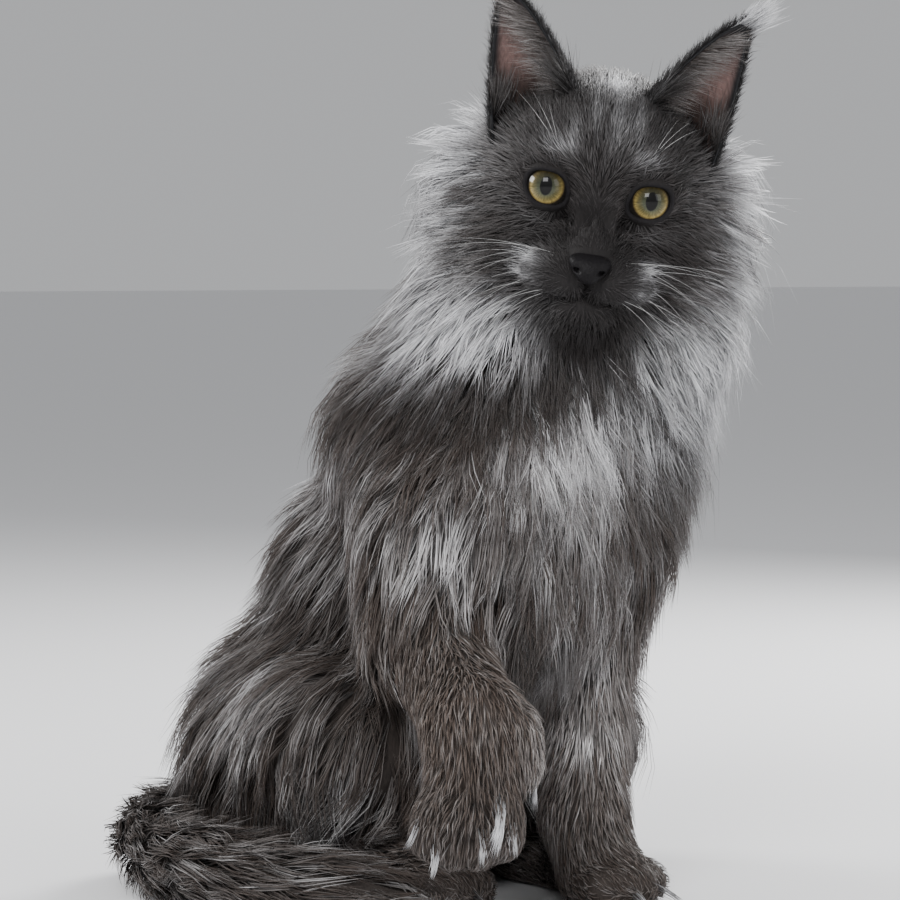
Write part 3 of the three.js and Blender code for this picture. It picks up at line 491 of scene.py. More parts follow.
# Patches of markings: centre, radii, change of the silver share, change of shade, and whether the place is
# in the head's axes
MARKS = (
    ((1.5, 30, 44), (7, 14, 7), 1.1, 0.6, True),  # crown
    ((4, 10, 30), (5, 24, 14), 0.45, 0.25, True),  # streaks of the forehead
    ((-6, 12, 34), (3, 24, 10), 0.4, 0.2, True),
    ((13, 12, 30), (3.5, 24, 11), 0.42, 0.2, True),
    ((-14, 10, 24), (3, 24, 8), 0.35, 0.2, True),
    ((-20.5, 6, 18.5), (7, 20, 4.2), 0.5, 0.3, True),  # brows
    ((19.5, 6, 17.5), (7, 20, 4.2), 0.48, 0.3, True),
    ((-26, 0, -31), (6, 22, 3.6), 0.9, 0.5, True),  # whisker pads
    ((-27, 0, -38), (5.5, 22, 3), 0.7, 0.4, True),
    ((26, 0, -31), (6, 22, 4), 0.9, 0.5, True),
    ((24.5, 0, -39.5), (5.5, 22, 3.5), 0.8, 0.4, True),
    ((-43, 10, -28), (12, 30, 13), -0.2, -0.14, True),  # cheeks beside the pads
    ((43, 10, -28), (12, 30, 13), -0.2, -0.14, True),
    ((-25, 8, -14), (7, 20, 4), 0.22, 0.1, True),  # under the eyes
    ((25, 8, -14), (7, 20, 4), 0.22, 0.1, True),
    ((0, -10, -57), (16, 14, 10), -0.3, -0.25, True),  # chin
    ((0, 14, -66), (18, 18, 14), -0.35, -0.2, True),
    ((-70, 45, 26), (26, 40, 30), 0.3, 0.3, True),  # beside the ears
    ((70, 45, 26), (26, 40, 30), 0.3, 0.3, True),
    ((-41, -88, 270), (22, 46, 16), 0.5, 0.35, False),  # ruff under the jaw
    ((63, -70, 264), (22, 46, 22), 0.4, 0.3, False),
    ((-22, -88, 244), (48, 46, 10), -0.6, -0.3, False),  # dark curls under the ruff
    ((-52, -50, 234), (48, 76, 22), -0.65, -0.3, False),
    ((-14, -92, 214), (30, 46, 17), 0.5, 0.4, False),  # bib
    ((50, -80, 208), (24, 60, 26), -0.45, -0.25, False),
    ((-70, -74, 166), (22, 30, 18), 0.5, 0.25, False),  # shoulder
    ((-58, 30, 205), (20, 60, 24), 0.22, 0.15, False),  # side of the back
    ((-72, -6, 112), (20, 60, 36), -0.3, -0.25, False),  # shaded side behind the foreleg
    ((-95, 50, 84), (24, 34, 26), 0.35, 0.2, False),  # thigh
    ((-80, 0, 30), (12, 18, 22), 0.8, 0.4, False),  # lock that hangs from the thigh
    ((30, -60, 115), (22, 26, 15), 0.5, 0.35, False),  # left foreleg
    ((28, -60, 80), (18, 24, 9), 0.42, 0.3, False),
    ((58, 4, 60), (26, 40, 46), 0.3, 0.25, False),  # left haunch
    ((-58, -116, 86), (8, 9, 10), 0.4, 0.4, False),  # dewclaw
)


EYE_MASK_RADIUS = 15
EYE_MASK = 0.8


def marked(points, style):
    """Adds the markings to a coat style."""
    q = to_head(points)
    silver = style["silver"].copy()
    shade = style["shade"].copy()
    for centre, radii, more_silver, more_shade, in_head in MARKS:
        p = q if in_head else points
        spot = np.exp(-(((p - np.array(centre)) / np.array(radii)) ** 2).sum(axis=1))
        silver += more_silver * spot
        shade += more_shade * spot
    # The mask round the eyes is dark
    for side in (-1, 1):
        near_eye = np.exp(-((np.linalg.norm(q - eye_centre(side), axis=1) / EYE_MASK_RADIUS) ** 4))
        silver *= 1 - EYE_MASK * near_eye
    style["silver"] = np.clip(silver, 0, 1)
    style["shade"] = np.clip(shade, 0.12, 1)
    return style


# Colours of hair, as linear light
DARK_HAIR = np.array([0.018, 0.018, 0.020])
BROWN_HAIR = np.array([0.078, 0.057, 0.046])
SILVER_HAIR = np.array([0.80, 0.80, 0.82])
CREAM_HAIR = np.array([0.80, 0.71, 0.62])
SILVER_FALL = 1.9


def hair_colour(silver, shade, brown):
    """Colour of a hair that is silver or dark by the first share."""
    silver = np.clip(silver, 0, 1)[..., None]
    shade = np.asarray(shade)[..., None]
    brown = np.asarray(brown)[..., None]
    dark = mix(DARK_HAIR, BROWN_HAIR, np.clip(brown, 0, 1)) * (0.6 + shade)
    pale = mix(SILVER_HAIR, CREAM_HAIR, np.clip(brown - 0.3, 0, 1) * 0.4) * (0.45 + 0.55 * shade)
    return mix(dark, pale, silver**SILVER_FALL)


# Skin: one closed surface, on a grid that is fine at the face
def run_of(*steps):
    """A row of ticks with a step of its own for each stretch: start, step, end, step, end."""
    row = [steps[0]]
    for step, end in zip(steps[1::2], steps[2::2]):
        count = max(1, round((end - row[-1]) / step))
        row.extend(np.linspace(row[-1], end, count + 1)[1:])
    return np.array(row)


FACE_STEP = 1.5
BODY_STEP = 5
GRID = (
    run_of(-210, BODY_STEP, -62, 3, -46, FACE_STEP, 46, 3, 62, BODY_STEP, 180),
    run_of(-75, BODY_STEP, -40, FACE_STEP, 22, 3, 60, BODY_STEP, 330),
    run_of(-372, BODY_STEP, -68, FACE_STEP, 32, 3, 60, BODY_STEP, 75),
)
BLOCK = 5


def grid_values(ticks, value_at):
    """Values at the corners of the grid, worked out only in blocks that the surface may cross."""
    shape = [len(t) for t in ticks]
    centres = [t[BLOCK // 2 :: BLOCK] for t in ticks]
    counts = [len(c) for c in centres]
    mesh = np.stack(np.meshgrid(*centres, indexing="ij"), axis=-1).reshape(-1, 3)
    rough = value_at(mesh)
    block_of = [np.minimum(np.arange(n) // BLOCK, c - 1) for n, c in zip(shape, counts)]
    spans = []
    for row, block, count in zip(ticks, block_of, counts):
        spans.append(np.array([np.ptp(row[block == i]) for i in range(count)]))
    reach = np.sqrt(spans[0][:, None, None] ** 2 + spans[1][None, :, None] ** 2 + spans[2] ** 2)
    rough = rough.reshape(counts)
    active = np.abs(rough) < reach * 0.9 + 8
    full = np.ix_(*block_of)
    values = rough[full].astype(float)
    where = np.argwhere(active[full])
    points = np.stack([ticks[axis][where[:, axis]] for axis in range(3)], axis=1)
    values[tuple(where.T)] = value_at(points)
    for axis in range(3):
        edge = [slice(None)] * 3
        for end in (0, -1):
            edge[axis] = end
            values[tuple(edge)] = np.maximum(values[tuple(edge)], 0.5)
    values[values == 0] = 1e-6
    return values


CORNERS = np.array([[c & 1, (c >> 1) & 1, (c >> 2) & 1] for c in range(8)])
EDGES = [(a, b) for a in range(8) for b in range(a + 1, 8) if (a ^ b) in (1, 2, 4)]


def surface_net(ticks, values):
    """One point in each cell that the surface crosses and one quad round each grid edge that it crosses."""
    inside = values < 0
    shape = np.array(values.shape)
    count = np.zeros(shape - 1, np.int8)
    for corner in CORNERS:
        count += inside[tuple(slice(c, n - 1 + c) for c, n in zip(corner, shape))]
    cells = np.argwhere((count > 0) & (count < 8))
    corner_values = [values[tuple((cells + corner).T)] for corner in CORNERS]
    corner_points = []
    for corner in CORNERS:
        at = cells + corner
        corner_points.append(np.stack([ticks[axis][at[:, axis]] for axis in range(3)], axis=1))
    total = np.zeros((len(cells), 3))
    crossings = np.zeros(len(cells))
    for a, b in EDGES:
        crossed = (corner_values[a] < 0) != (corner_values[b] < 0)
        gap = np.where(crossed, corner_values[a] - corner_values[b], 1)
        t = np.where(crossed, corner_values[a] / gap, 0)[:, None]
        total += np.where(crossed[:, None], mix(corner_points[a], corner_points[b], t), 0)
        crossings += crossed
    points = total / crossings[:, None]
    number = np.full(shape - 1, -1, np.int64)
    number[tuple(cells.T)] = np.arange(len(cells))
    quads = []
    for axis in range(3):
        one, two = [(1, 2), (2, 0), (0, 1)][axis]
        low = [slice(1, n - 1) for n in shape]
        low[axis] = slice(0, shape[axis] - 1)
        high = list(low)
        high[axis] = slice(1, shape[axis])
        crossed = inside[tuple(low)] != inside[tuple(high)]
        at = np.argwhere(crossed)
        at += [0 if a == axis else 1 for a in range(3)]
        outward = inside[tuple(at.T)]
        ring = []
        for shift_one, shift_two in ((-1, -1), (0, -1), (0, 0), (-1, 0)):
            cell = at.copy()
            cell[:, one] += shift_one
            cell[:, two] += shift_two
            ring.append(number[tuple(cell.T)])
        ring = np.stack(ring, axis=1)
        ring[~outward] = ring[~outward][:, ::-1]
        quads.append(ring)
    return points, np.concatenate(quads)


def settle(points, value_at, rounds=3, most=1.2):
    """Moves points onto the surface where value_at is zero."""
    for _ in range(rounds):
        step = 0.3
        parts = [value_at(points + axis) - value_at(points - axis) for axis in np.eye(3) * step]
        gradient = np.stack(parts, axis=1) / (2 * step)
        square = np.maximum((gradient**2).sum(axis=1), 0.2)
        move = -(value_at(points) / square)[:, None] * gradient
        size = np.maximum(np.linalg.norm(move, axis=1, keepdims=True), 1e-9)
        points = points + move * np.minimum(1, most / size)
    return points


def skin_field(q):
    return field(from_head(q), 0)


skin_points, skin_quads = surface_net(GRID, grid_values(GRID, skin_field))
skin_points = from_head(settle(skin_points, skin_field))
skin_points[:, 2] = np.maximum(skin_points[:, 2], 0.2)

# Ears: cupped leaves, open to the front
EAR_ROWS = 40
EAR_COLUMNS = 32
EAR_BASE = (34.5, 29, 33)
EAR_AXIS = (0.37, 0.02, 0.93)
EAR_FACING = (0.42, -0.9, 0.1)
EAR_SUNK = 14
EAR_WRAP = (118, 78)
EAR_RIM_THICKNESS = 0.35


def beside(side, place):
    """A place or direction of the cat's left side, mirrored for its right."""
    return np.array([side * place[0], *place[1:]])


def ear_axis(side):
    return unit(beside(side, EAR_AXIS))


def ear_surface(side, t, c):
    """A place on the middle of the ear's wall, t from its base to its tip and c from edge to edge, and
    the way out of it."""
    axis = ear_axis(side)
    facing = beside(side, EAR_FACING)
    opening = unit(facing - axis * (facing @ axis))
    aside = np.cross(axis, opening)
    t = np.asarray(t, float)[..., None]
    c = np.asarray(c, float)[..., None]
    rest = np.maximum(1 - t, 0.004)
    wide = EAR_HALF_WIDTH * rest**0.62
    deep = EAR_DEPTH * rest**0.8
    spread = np.radians(mix(*EAR_WRAP, t)) * mix(-1, 1, c)
    place = beside(side, EAR_BASE) + axis * mix(-EAR_SUNK, EAR_LENGTH, t)
    place = place + aside * wide * np.sin(spread) - opening * deep * (np.cos(spread) + 0.3)
    out = unit(aside * np.sin(spread) / wide - opening * np.cos(spread) / deep)
    return place, out


def ear_mesh(side):
    """An ear's points and faces, and for each point whether it is inside the cup, how far it is from the
    rim and how high it is, from 0 to 1."""
    t, c = np.meshgrid(np.linspace(0, 1, EAR_ROWS + 1), np.linspace(0, 1, EAR_COLUMNS + 1), indexing="ij")
    place, out = ear_surface(side, t, c)
    thin = np.minimum(np.minimum(c, 1 - c) * 9, 1) * np.minimum((1 - t) * 8 + 0.12, 1)
    half = (EAR_THICKNESS / 2 * mix(EAR_RIM_THICKNESS, 1, thin))[..., None]
    outer = (place + out * half).reshape(-1, 3)
    inner = (place - out * half).reshape(-1, 3)
    number = np.arange(len(outer)).reshape(t.shape)
    a, b = number[:-1, :-1].ravel(), number[:-1, 1:].ravel()
    d, e = number[1:, :-1].ravel(), number[1:, 1:].ravel()
    n = len(outer)
    faces = [np.stack([a, d, e, b], axis=1), np.stack([b, e, d, a], axis=1) + n]
    for line in (number[0, ::-1], number[-1], number[:, 0], number[::-1, -1]):
        one, two = line[:-1], line[1:]
        faces.append(np.stack([one, one + n, two + n, two], axis=1))
    inside = np.repeat([0.0, 1.0], n)
    rim = np.tile(np.minimum(np.minimum(c, 1 - c) * 2, (1 - t) * 1.5).ravel(), 2)
    high = np.tile(t.ravel(), 2)
    return from_head(np.concatenate([outer, inner])), np.concatenate(faces), inside, rim, high


def no_ear(points, faces):
    """Another part of the skin, given as ear_mesh gives an ear."""
    none = np.zeros(len(points))
    return points, faces, none, none, none


def new_mesh(name, points, faces, colours=None):
    """A mesh object at the origin, from layout points and rows of corner numbers."""
    mesh = bpy.data.meshes.new(name)
    faces = np.asarray(faces)
    mesh.vertices.add(len(points))
    mesh.vertices.foreach_set("co", to_frame(points).astype(np.float32).ravel())
    mesh.loops.add(faces.size)
    mesh.loops.foreach_set("vertex_index", faces.astype(np.int32).ravel())
    mesh.polygons.add(len(faces))
    mesh.polygons.foreach_set("loop_start", np.arange(0, faces.size, faces.shape[1], dtype=np.int32))
    mesh.polygons.foreach_set("use_smooth", np.ones(len(faces), bool))
    mesh.update(calc_edges=True)
    if colours is not None:
        layer = mesh.color_attributes.new("hair_colour", "FLOAT_COLOR", "POINT")
        rgba = np.concatenate([colours, np.ones((len(colours), 1))], axis=1)
        layer.data.foreach_set("color", rgba.astype(np.float32).ravel())
    piece = bpy.data.objects.new(name, mesh)
    bpy.context.scene.collection.objects.link(piece)
    return piece


def joined(parts, row):
    """The same row of several parts, one after the other."""
    return np.concatenate([part[row] for part in parts])


# The whole skin: body, ears and the edges of the lids
skin_parts = [no_ear(skin_points, skin_quads)]
skin_parts += [ear_mesh(side) for side in (-1, 1)]
skin_parts += [no_ear(*lid_mesh(side)) for side in (-1, 1)]
part_starts = np.cumsum([0] + [len(part[0]) for part in skin_parts])
skin_points = joined(skin_parts, 0)
ear_inside = joined(skin_parts, 2)
ear_rim = joined(skin_parts, 3)
ear_high = joined(skin_parts, 4)
skin_quads = np.concatenate([part[1] + start for part, start in zip(skin_parts, part_starts)])
skin_number = np.arange(len(skin_points))
is_ear = (skin_number >= part_starts[1]) & (skin_number < part_starts[3])

# Skin colour: the coat's own, painted darker as the shade under the coat, near black at the rims of the lids,
# with pink in the ears
EAR_PINK = np.array([0.17, 0.108, 0.098])
EAR_PAINTED_SHADE = np.array([0.045, 0.030, 0.027])
RIM_BLACK = np.array([0.008, 0.007, 0.008])
RIM_WIDTH = 1.1
SKIN_PAINTED_SHADE = 0.55
skin_style = marked(skin_points, coat_at(skin_points))
# The skin under the coat is painted darker, as the coat's shade on it
skin_colour = hair_colour(skin_style["silver"] * 0.8, skin_style["shade"], skin_style["brown"]) * SKIN_PAINTED_SHADE
skin_in_head = to_head(skin_points)
for side in (-1, 1):
    close = np.linalg.norm(skin_in_head - eye_centre(side), axis=1) < EYEBALL_RADIUS + 5
    edge = np.where(close, lid_opening(side, skin_in_head), 99)
    rim = np.exp(-((np.maximum(edge, 0) / RIM_WIDTH) ** 2))[:, None]
    skin_colour = mix(skin_colour, RIM_BLACK, rim)
pink = ear_inside * smooth_step(0.05, 0.5, ear_rim) * (1 - 0.5 * smooth_step(0.5, 1, ear_high))
skin_colour[is_ear] = DARK_HAIR * 0.7
# Painted shade: the lining is painted dark down at the base of the cup, pink higher up
ear_lining = mix(EAR_PAINTED_SHADE, EAR_PINK, smooth_step(0.3, 0.6, ear_high)[:, None])
skin_colour = mix(skin_colour, ear_lining, (pink * is_ear)[:, None])
skin = new_mesh("skin", skin_points, skin_quads, skin_colour)


# An unwrap of the skin, on which each tuft of the coat has its own small patch
def unwrap(piece):
    bpy.context.view_layer.objects.active = piece
    piece.data.uv_layers.new(name="OFBake")
    bpy.ops.object.select_all(action="DESELECT")
    piece.select_set(True)
    bpy.ops.object.mode_set(mode="EDIT")
    bpy.ops.mesh.select_all(action="SELECT")
    bpy.ops.uv.smart_project(angle_limit=math.radians(75), island_margin=0.002)
    bpy.ops.object.mode_set(mode="OBJECT")
    piece.select_set(False)
    flat = np.zeros(len(piece.data.loops) * 2, np.float32)
    piece.data.uv_layers["OFBake"].uv.foreach_get("vector", flat)
    return flat.reshape(-1, 4, 2)


skin_uv = unwrap(skin)
quad_points = skin_points[skin_quads]
triangles = np.concatenate([quad_points[:, [0, 1, 2]], quad_points[:, [0, 2, 3]]])
triangle_uv = np.concatenate([skin_uv[:, [0, 1, 2]], skin_uv[:, [0, 2, 3]]])
triangle_vertex = np.concatenate([skin_quads[:, [0, 1, 2]], skin_quads[:, [0, 2, 3]]])
crossed = np.cross(triangles[:, 1] - triangles[:, 0], triangles[:, 2] - triangles[:, 0])
triangle_area = np.linalg.norm(crossed, axis=1) / 2
triangle_out = unit(crossed)
triangle_kind = skin_style["kind"][triangle_vertex[:, 0]]
triangle_ear = is_ear[triangle_vertex[:, 0]]
triangle_middle = triangles.mean(axis=1)


def eye_clearance(points):
    """How far outside both eyes' openings points are."""
    q = to_head(points)
    least = np.full(len(points), 99.0)
    for side in (-1, 1):
        near = np.linalg.norm(q - eye_centre(side), axis=1) < EYEBALL_RADIUS + 6
        least = np.where(near, np.minimum(least, lid_opening(side, q)), least)
    return least


def tree_of(points):
    """A search tree that finds the nearest of the points."""
    tree = KDTree(len(points))
    for i, point in enumerate(points):
        tree.insert(point, i)
    tree.balance()
    return tree


def roots_on(weights, count, random):
    """Random places on the skin's triangles: points, the way out, bake map places and triangle numbers."""
    chance = np.cumsum(triangle_area * weights)
    chosen = np.searchsorted(chance, random.random(count) * chance[-1])
    a, b = random.random(count), random.random(count)
    flip = a + b > 1
    a[flip], b[flip] = 1 - a[flip], 1 - b[flip]
    shares = np.stack([1 - a - b, a, b], axis=1)[..., None]
    points = (triangles[chosen] * shares).sum(axis=1)
    uv = (triangle_uv[chosen] * shares).sum(axis=1)
    return points, triangle_out[chosen], uv, chosen


PATCH = 0.003
LEAST_HEIGHT = 0.6
COAT_MOST = 180000


def blades(paths, widths, up, colours, uv):
    """Closed, tapering hairs of three sides. paths is hairs by steps by 3 with the tip last, widths and
    colours follow it, up is the way out at each root and uv the root's place on the bake map."""
    count, steps, _ = paths.shape
    rings = steps - 1
    along = unit(paths[:, 1:] - paths[:, :-1])
    along = unit(np.concatenate([along[:, :1], along[:, :-1] + along[:, 1:]], axis=1))[:, :rings]
    aside = unit(np.cross(along, up[:, None]))
    above = np.cross(aside, along)
    half = widths[:, :rings, None] / 2
    left = paths[:, :rings] - aside * half
    right = paths[:, :rings] + aside * half
    ridge = paths[:, :rings] + above * half * 0.8
    ring_points = np.stack([left, right, ridge], axis=2).reshape(count, rings * 3, 3)
    points = np.concatenate([ring_points, paths[:, rings:]], axis=1)
    size = rings * 3 + 1
    faces = [(0, 1, 2)]
    for ring in range(rings - 1):
        for k in range(3):
            a, b = ring * 3 + k, ring * 3 + (k + 1) % 3
            faces.extend([(a, b + 3, b), (a, a + 3, b + 3)])
    top = (rings - 1) * 3
    for k in range(3):
        faces.append((top + (k + 1) % 3, top + k, size - 1))
    shade = np.concatenate([np.repeat(colours[:, :rings], 3, axis=1), colours[:, rings:]], axis=1)
    across = np.concatenate([np.tile([-0.5, 0.5, 0.1], rings), [0]])
    ahead = np.concatenate([np.repeat(np.arange(rings), 3) / rings, [1]]) - 0.5
    patch = uv[:, None] + np.stack([across, ahead], axis=1)[None] * PATCH
    points[..., 2] = np.maximum(points[..., 2], LEAST_HEIGHT)
    return points, np.array(faces), shade, patch


def add_coat(name, made, material):
    """Makes pieces of coat from hairs, each piece within the size that one may have."""
    points, faces, colours, patches = made
    parts = math.ceil(len(points) * len(faces) / COAT_MOST)
    for part, hairs in enumerate(np.array_split(np.arange(len(points)), parts)):
        some = points[hairs]
        corners = (faces[None] + (np.arange(len(hairs)) * some.shape[1])[:, None, None]).reshape(-1, 3)
        piece = new_mesh(f"{name}_{part + 1}", some.reshape(-1, 3), corners, colours[hairs].reshape(-1, 3))
        layer = piece.data.uv_layers.new(name="OFBake")
        flat = patches[hairs].reshape(-1, 2)[corners.ravel()]
        layer.uv.foreach_set("vector", flat.astype(np.float32).ravel())
        piece.data.materials.append(material)
        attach(piece, "root")


# Materials
def feed(node, inputs):
    """Gives each named or numbered socket of a node its value, or a link from another node's output."""
    for socket, value in inputs.items():
        if isinstance(value, bpy.types.NodeSocket):
            node.id_data.links.new(value, node.inputs[socket])
        else:
            node.inputs[socket].default_value = value


def add_node(tree, kind, inputs=None, **settings):
    made = tree.nodes.new(kind)
    for name, value in settings.items():
        setattr(made, name, value)
    feed(made, inputs or {})
    return made


def new_material(name):
    material = bpy.data.materials.new(name)
    material.use_nodes = True
    return material, material.node_tree, material.node_tree.nodes["Principled BSDF"]


def object_place(tree):
    return add_node(tree, "ShaderNodeTexCoord").outputs["Object"]


def map_range(tree, value, low, high, start=0, end=1):
    """Turns values from start to end into values from low to high."""
    ends = {"Value": value, "From Min": start, "From Max": end, "To Min": low, "To Max": high}
    return add_node(tree, "ShaderNodeMapRange", ends).outputs["Result"]


def multiplied(tree, colour, strength):
    inputs = {"Factor": 1, "A": colour, "B": strength}
    mixed = add_node(tree, "ShaderNodeMix", inputs, data_type="RGBA", blend_type="MULTIPLY")
    return mixed.outputs["Result"]


def add_ramp(tree, value, *tones):
    """A colour for each value. tones are places from 0 to 1, each with its colour."""
    ramp = add_node(tree, "ShaderNodeValToRGB", {"Fac": value})
    stops = ramp.color_ramp.elements
    for stop, (position, tone) in zip((stops[0], stops[1]), (tones[0], tones[-1])):
        stop.position = position
        stop.color = (*tone, 1)
    for position, tone in tones[1:-1]:
        stops.new(position).color = (*tone, 1)
    return ramp.outputs["Color"]


def add_bump(tree, height, strength, distance):
    inputs = {"Height": height, "Strength": strength, "Distance": distance}
    return add_node(tree, "ShaderNodeBump", inputs).outputs["Normal"]


def hair_tint(tree, noise, low, high):
    """The colour that each point of skin or hair carries, made darker and lighter by noise."""
    colour = add_node(tree, "ShaderNodeAttribute", attribute_name="hair_colour").outputs["Color"]
    return multiplied(tree, colour, map_range(tree, noise, low, high))


def coat_material(name, roughness, sheen):
    """Hair: each one's own colour, broken along its length by fine noise."""
    material, tree, shader = new_material(name)
    noise = add_node(tree, "ShaderNodeTexNoise", {"Scale": 260, "Detail": 3, "Vector": object_place(tree)})
    finish = {"Base Color": hair_tint(tree, noise.outputs["Fac"], 0.62, 1.38), "Roughness": roughness}
    feed(shader, {**finish, "Specular IOR Level": 0.2, "Sheen Weight": sheen, "Sheen Roughness": 0.4})
    return material


def skin_material():
    """The bed of the coat: its colour in streaks, with a bump of close, short fur."""
    material, tree, shader = new_material("coat bed")
    stretch = add_node(tree, "ShaderNodeMapping", {"Scale": (1, 1, 0.22), "Vector": object_place(tree)})
    streaks = {"Scale": 900, "Detail": 5, "Vector": stretch.outputs["Vector"]}
    fur = add_node(tree, "ShaderNodeTexNoise", streaks).outputs["Fac"]
    finish = {"Base Color": hair_tint(tree, fur, 0.35, 1.5), "Normal": add_bump(tree, fur, 0.5, 0.0012)}
    feed(shader, {**finish, "Roughness": 0.8, "Specular IOR Level": 0.2})
    return material


def nose_material():
    """Dark nose leather with a fine pebbled grain, a little moist."""
    material, tree, shader = new_material("nose leather")
    grain = {"Scale": 1300, "Vector": object_place(tree)}
    pebbles = add_node(tree, "ShaderNodeTexVoronoi", grain).outputs["Distance"]
    leather = add_ramp(tree, pebbles, (0, (0.010, 0.009, 0.010)), (1, (0.004, 0.0035, 0.004)))
    finish = {"Base Color": leather, "Normal": add_bump(tree, pebbles, 0.35, 0.0004)}
    feed(shader, {**finish, "Roughness": 0.5, "Specular IOR Level": 0.1})
    return material


# The eye's looks. Its iris is coloured from the pupil outwards: grey green, gold, and the dark rim
PUPIL_HALF_WIDTH = 2.7
PUPIL_HALF_HEIGHT = 4.2
PUPIL_RISE = 0.3
PUPIL_BLACK = (0.002, 0.002, 0.002, 1)
IRIS_RADIUS = 9.4
IRIS_TONES = (
    (0.00, (0.04, 0.044, 0.03)),
    (0.40, (0.055, 0.06, 0.036)),
    (0.60, (0.11, 0.095, 0.04)),
    (0.74, (0.235, 0.18, 0.062)),
    (0.81, (0.11, 0.08, 0.03)),
    (0.86, (0.012, 0.010, 0.008)),
    (1.00, (0.010, 0.009, 0.008)),
)


def eye_material():
    """The iris with its pupil, radial fibres and dark rim, painted lighter below and darker above, under a
    clear wet cornea.
    """
    material, tree, shader = new_material("eye")
    place = add_node(tree, "ShaderNodeAttribute", attribute_name="iris_place").outputs["Vector"]
    axes = add_node(tree, "ShaderNodeSeparateXYZ", {"Vector": place})

    def calculate(operation, *values):
        step = add_node(tree, "ShaderNodeMath", dict(enumerate(values)), operation=operation)
        return step.outputs["Value"]

    def size_of(across, height):
        squares = calculate("ADD", calculate("POWER", across, 2), calculate("POWER", height, 2))
        return calculate("SQRT", squares)

    across, height = axes.outputs["X"], axes.outputs["Y"]
    radius = size_of(across, height)
    angle = calculate("ARCTAN2", height, across)
    wide = calculate("DIVIDE", across, PUPIL_HALF_WIDTH)
    tall = calculate("DIVIDE", calculate("SUBTRACT", height, PUPIL_RISE), PUPIL_HALF_HEIGHT)
    ray = {"X": calculate("MULTIPLY", calculate("COSINE", angle), 9)}
    ray["Y"] = calculate("MULTIPLY", calculate("SINE", angle), 9)
    ray["Z"] = calculate("MULTIPLY", radius, 0.35)
    fibre_place = add_node(tree, "ShaderNodeCombineXYZ", ray).outputs["Vector"]
    fibres = add_node(tree, "ShaderNodeTexNoise", {"Scale": 1.6, "Detail": 6, "Vector": fibre_place})
    iris = add_ramp(tree, calculate("DIVIDE", radius, IRIS_RADIUS), *IRIS_TONES)
    streak = map_range(tree, fibres.outputs["Fac"], 0.55, 1.35, 0.3, 0.7)
    # Painted light and shade: the lower half is painted brighter, as if it caught the light that comes in
    # above it, and the top darker, as if shaded by the upper lid
    painted_light_and_lid_shade = map_range(tree, height, 1.7, 0.12, -8, 6)
    iris = multiplied(tree, iris, calculate("MULTIPLY", streak, painted_light_and_lid_shade))
    outside_pupil = map_range(tree, size_of(wide, tall), 0, 1, 0.94, 1.06)
    inputs = {"A": PUPIL_BLACK, "B": iris, "Factor": outside_pupil}
    whole = add_node(tree, "ShaderNodeMix", inputs, data_type="RGBA").outputs["Result"]
    feed(shader, {"Base Color": whole, "Roughness": 0.5, "Specular IOR Level": 0.05})
    feed(shader, {"Coat Weight": 0.6, "Coat Roughness": 0.02, "Coat IOR": 1.38})
    return material


face_hair = coat_material("face coat", 0.55, 0.02)
ear_hair = coat_material("ear coat", 0.55, 0.03)
ruff_hair = coat_material("ruff coat", 0.42, 0.15)
body_hair = coat_material("body coat", 0.45, 0.06)
skin.data.materials.append(skin_material())
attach(skin, "root")
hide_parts(*[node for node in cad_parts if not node.startswith(("eye", "nose"))])

# Eyes: dense balls that bulge a little at the cornea
CORNEA_RISE = 0.8
CORNEA_ANGLE = 34
EYE_RINGS = 72
EYE_SPOKES = 96
EYE_SLACK = 0.15
eye_looks = eye_material()


def make_eye(side, name):
    aside, up, forward = eye_axes(side)
    theta = np.linspace(0, math.pi, EYE_RINGS + 1)[1:-1, None]
    phi = np.linspace(0, 2 * math.pi, EYE_SPOKES, endpoint=False)[None]
    radius = EYEBALL_RADIUS - EYE_SLACK + CORNEA_RISE * np.exp(-((np.degrees(theta) / CORNEA_ANGLE) ** 4))
    local = np.stack(
        [
            radius * np.sin(theta) * np.cos(phi),
            radius * np.sin(theta) * np.sin(phi),
            radius * np.cos(theta) * np.ones_like(phi),
        ],
        axis=-1,
    ).reshape(-1, 3)
    poles = np.array([[0, 0, EYEBALL_RADIUS - EYE_SLACK + CORNEA_RISE], [0, 0, EYE_SLACK - EYEBALL_RADIUS]])
    local = np.concatenate([local, poles])
    points = eye_centre(side) + local @ np.array([aside, up, forward])
    faces = []
    for ring in range(EYE_RINGS - 2):
        for k in range(EYE_SPOKES):
            a, b = ring * EYE_SPOKES + k, ring * EYE_SPOKES + (k + 1) % EYE_SPOKES
            faces.extend([(a, b + EYE_SPOKES, b), (a, a + EYE_SPOKES, b + EYE_SPOKES)])
    last = (EYE_RINGS - 2) * EYE_SPOKES
    for k in range(EYE_SPOKES):
        faces.append((len(local) - 2, k, (k + 1) % EYE_SPOKES))
        faces.append((len(local) - 1, last + (k + 1) % EYE_SPOKES, last + k))
    faces = np.array(faces)
    if np.linalg.det(np.array([aside, up, forward])) < 0:
        faces = faces[:, ::-1]
    piece = new_mesh(f"{name}_ball", from_head(points), faces)
    place = piece.data.attributes.new("iris_place", "FLOAT_VECTOR", "POINT")
    place.data.foreach_set("vector", local.astype(np.float32).ravel())
    piece.data.materials.append(eye_looks)
    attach(piece, "root")
    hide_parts(name)


make_eye(1, "eye_left")
make_eye(-1, "eye_right")


# Nose leather: wide at its top, narrow below, with two comma-shaped nostrils and a cleft
NOSE_CENTRE = (0, -21.3, -30.8)
NOSE_HALF_WIDTH = 12
NOSE_HALF_HEIGHT = 6.6
NOSE_DEPTH = 7
NOSE_STEP = 0.45


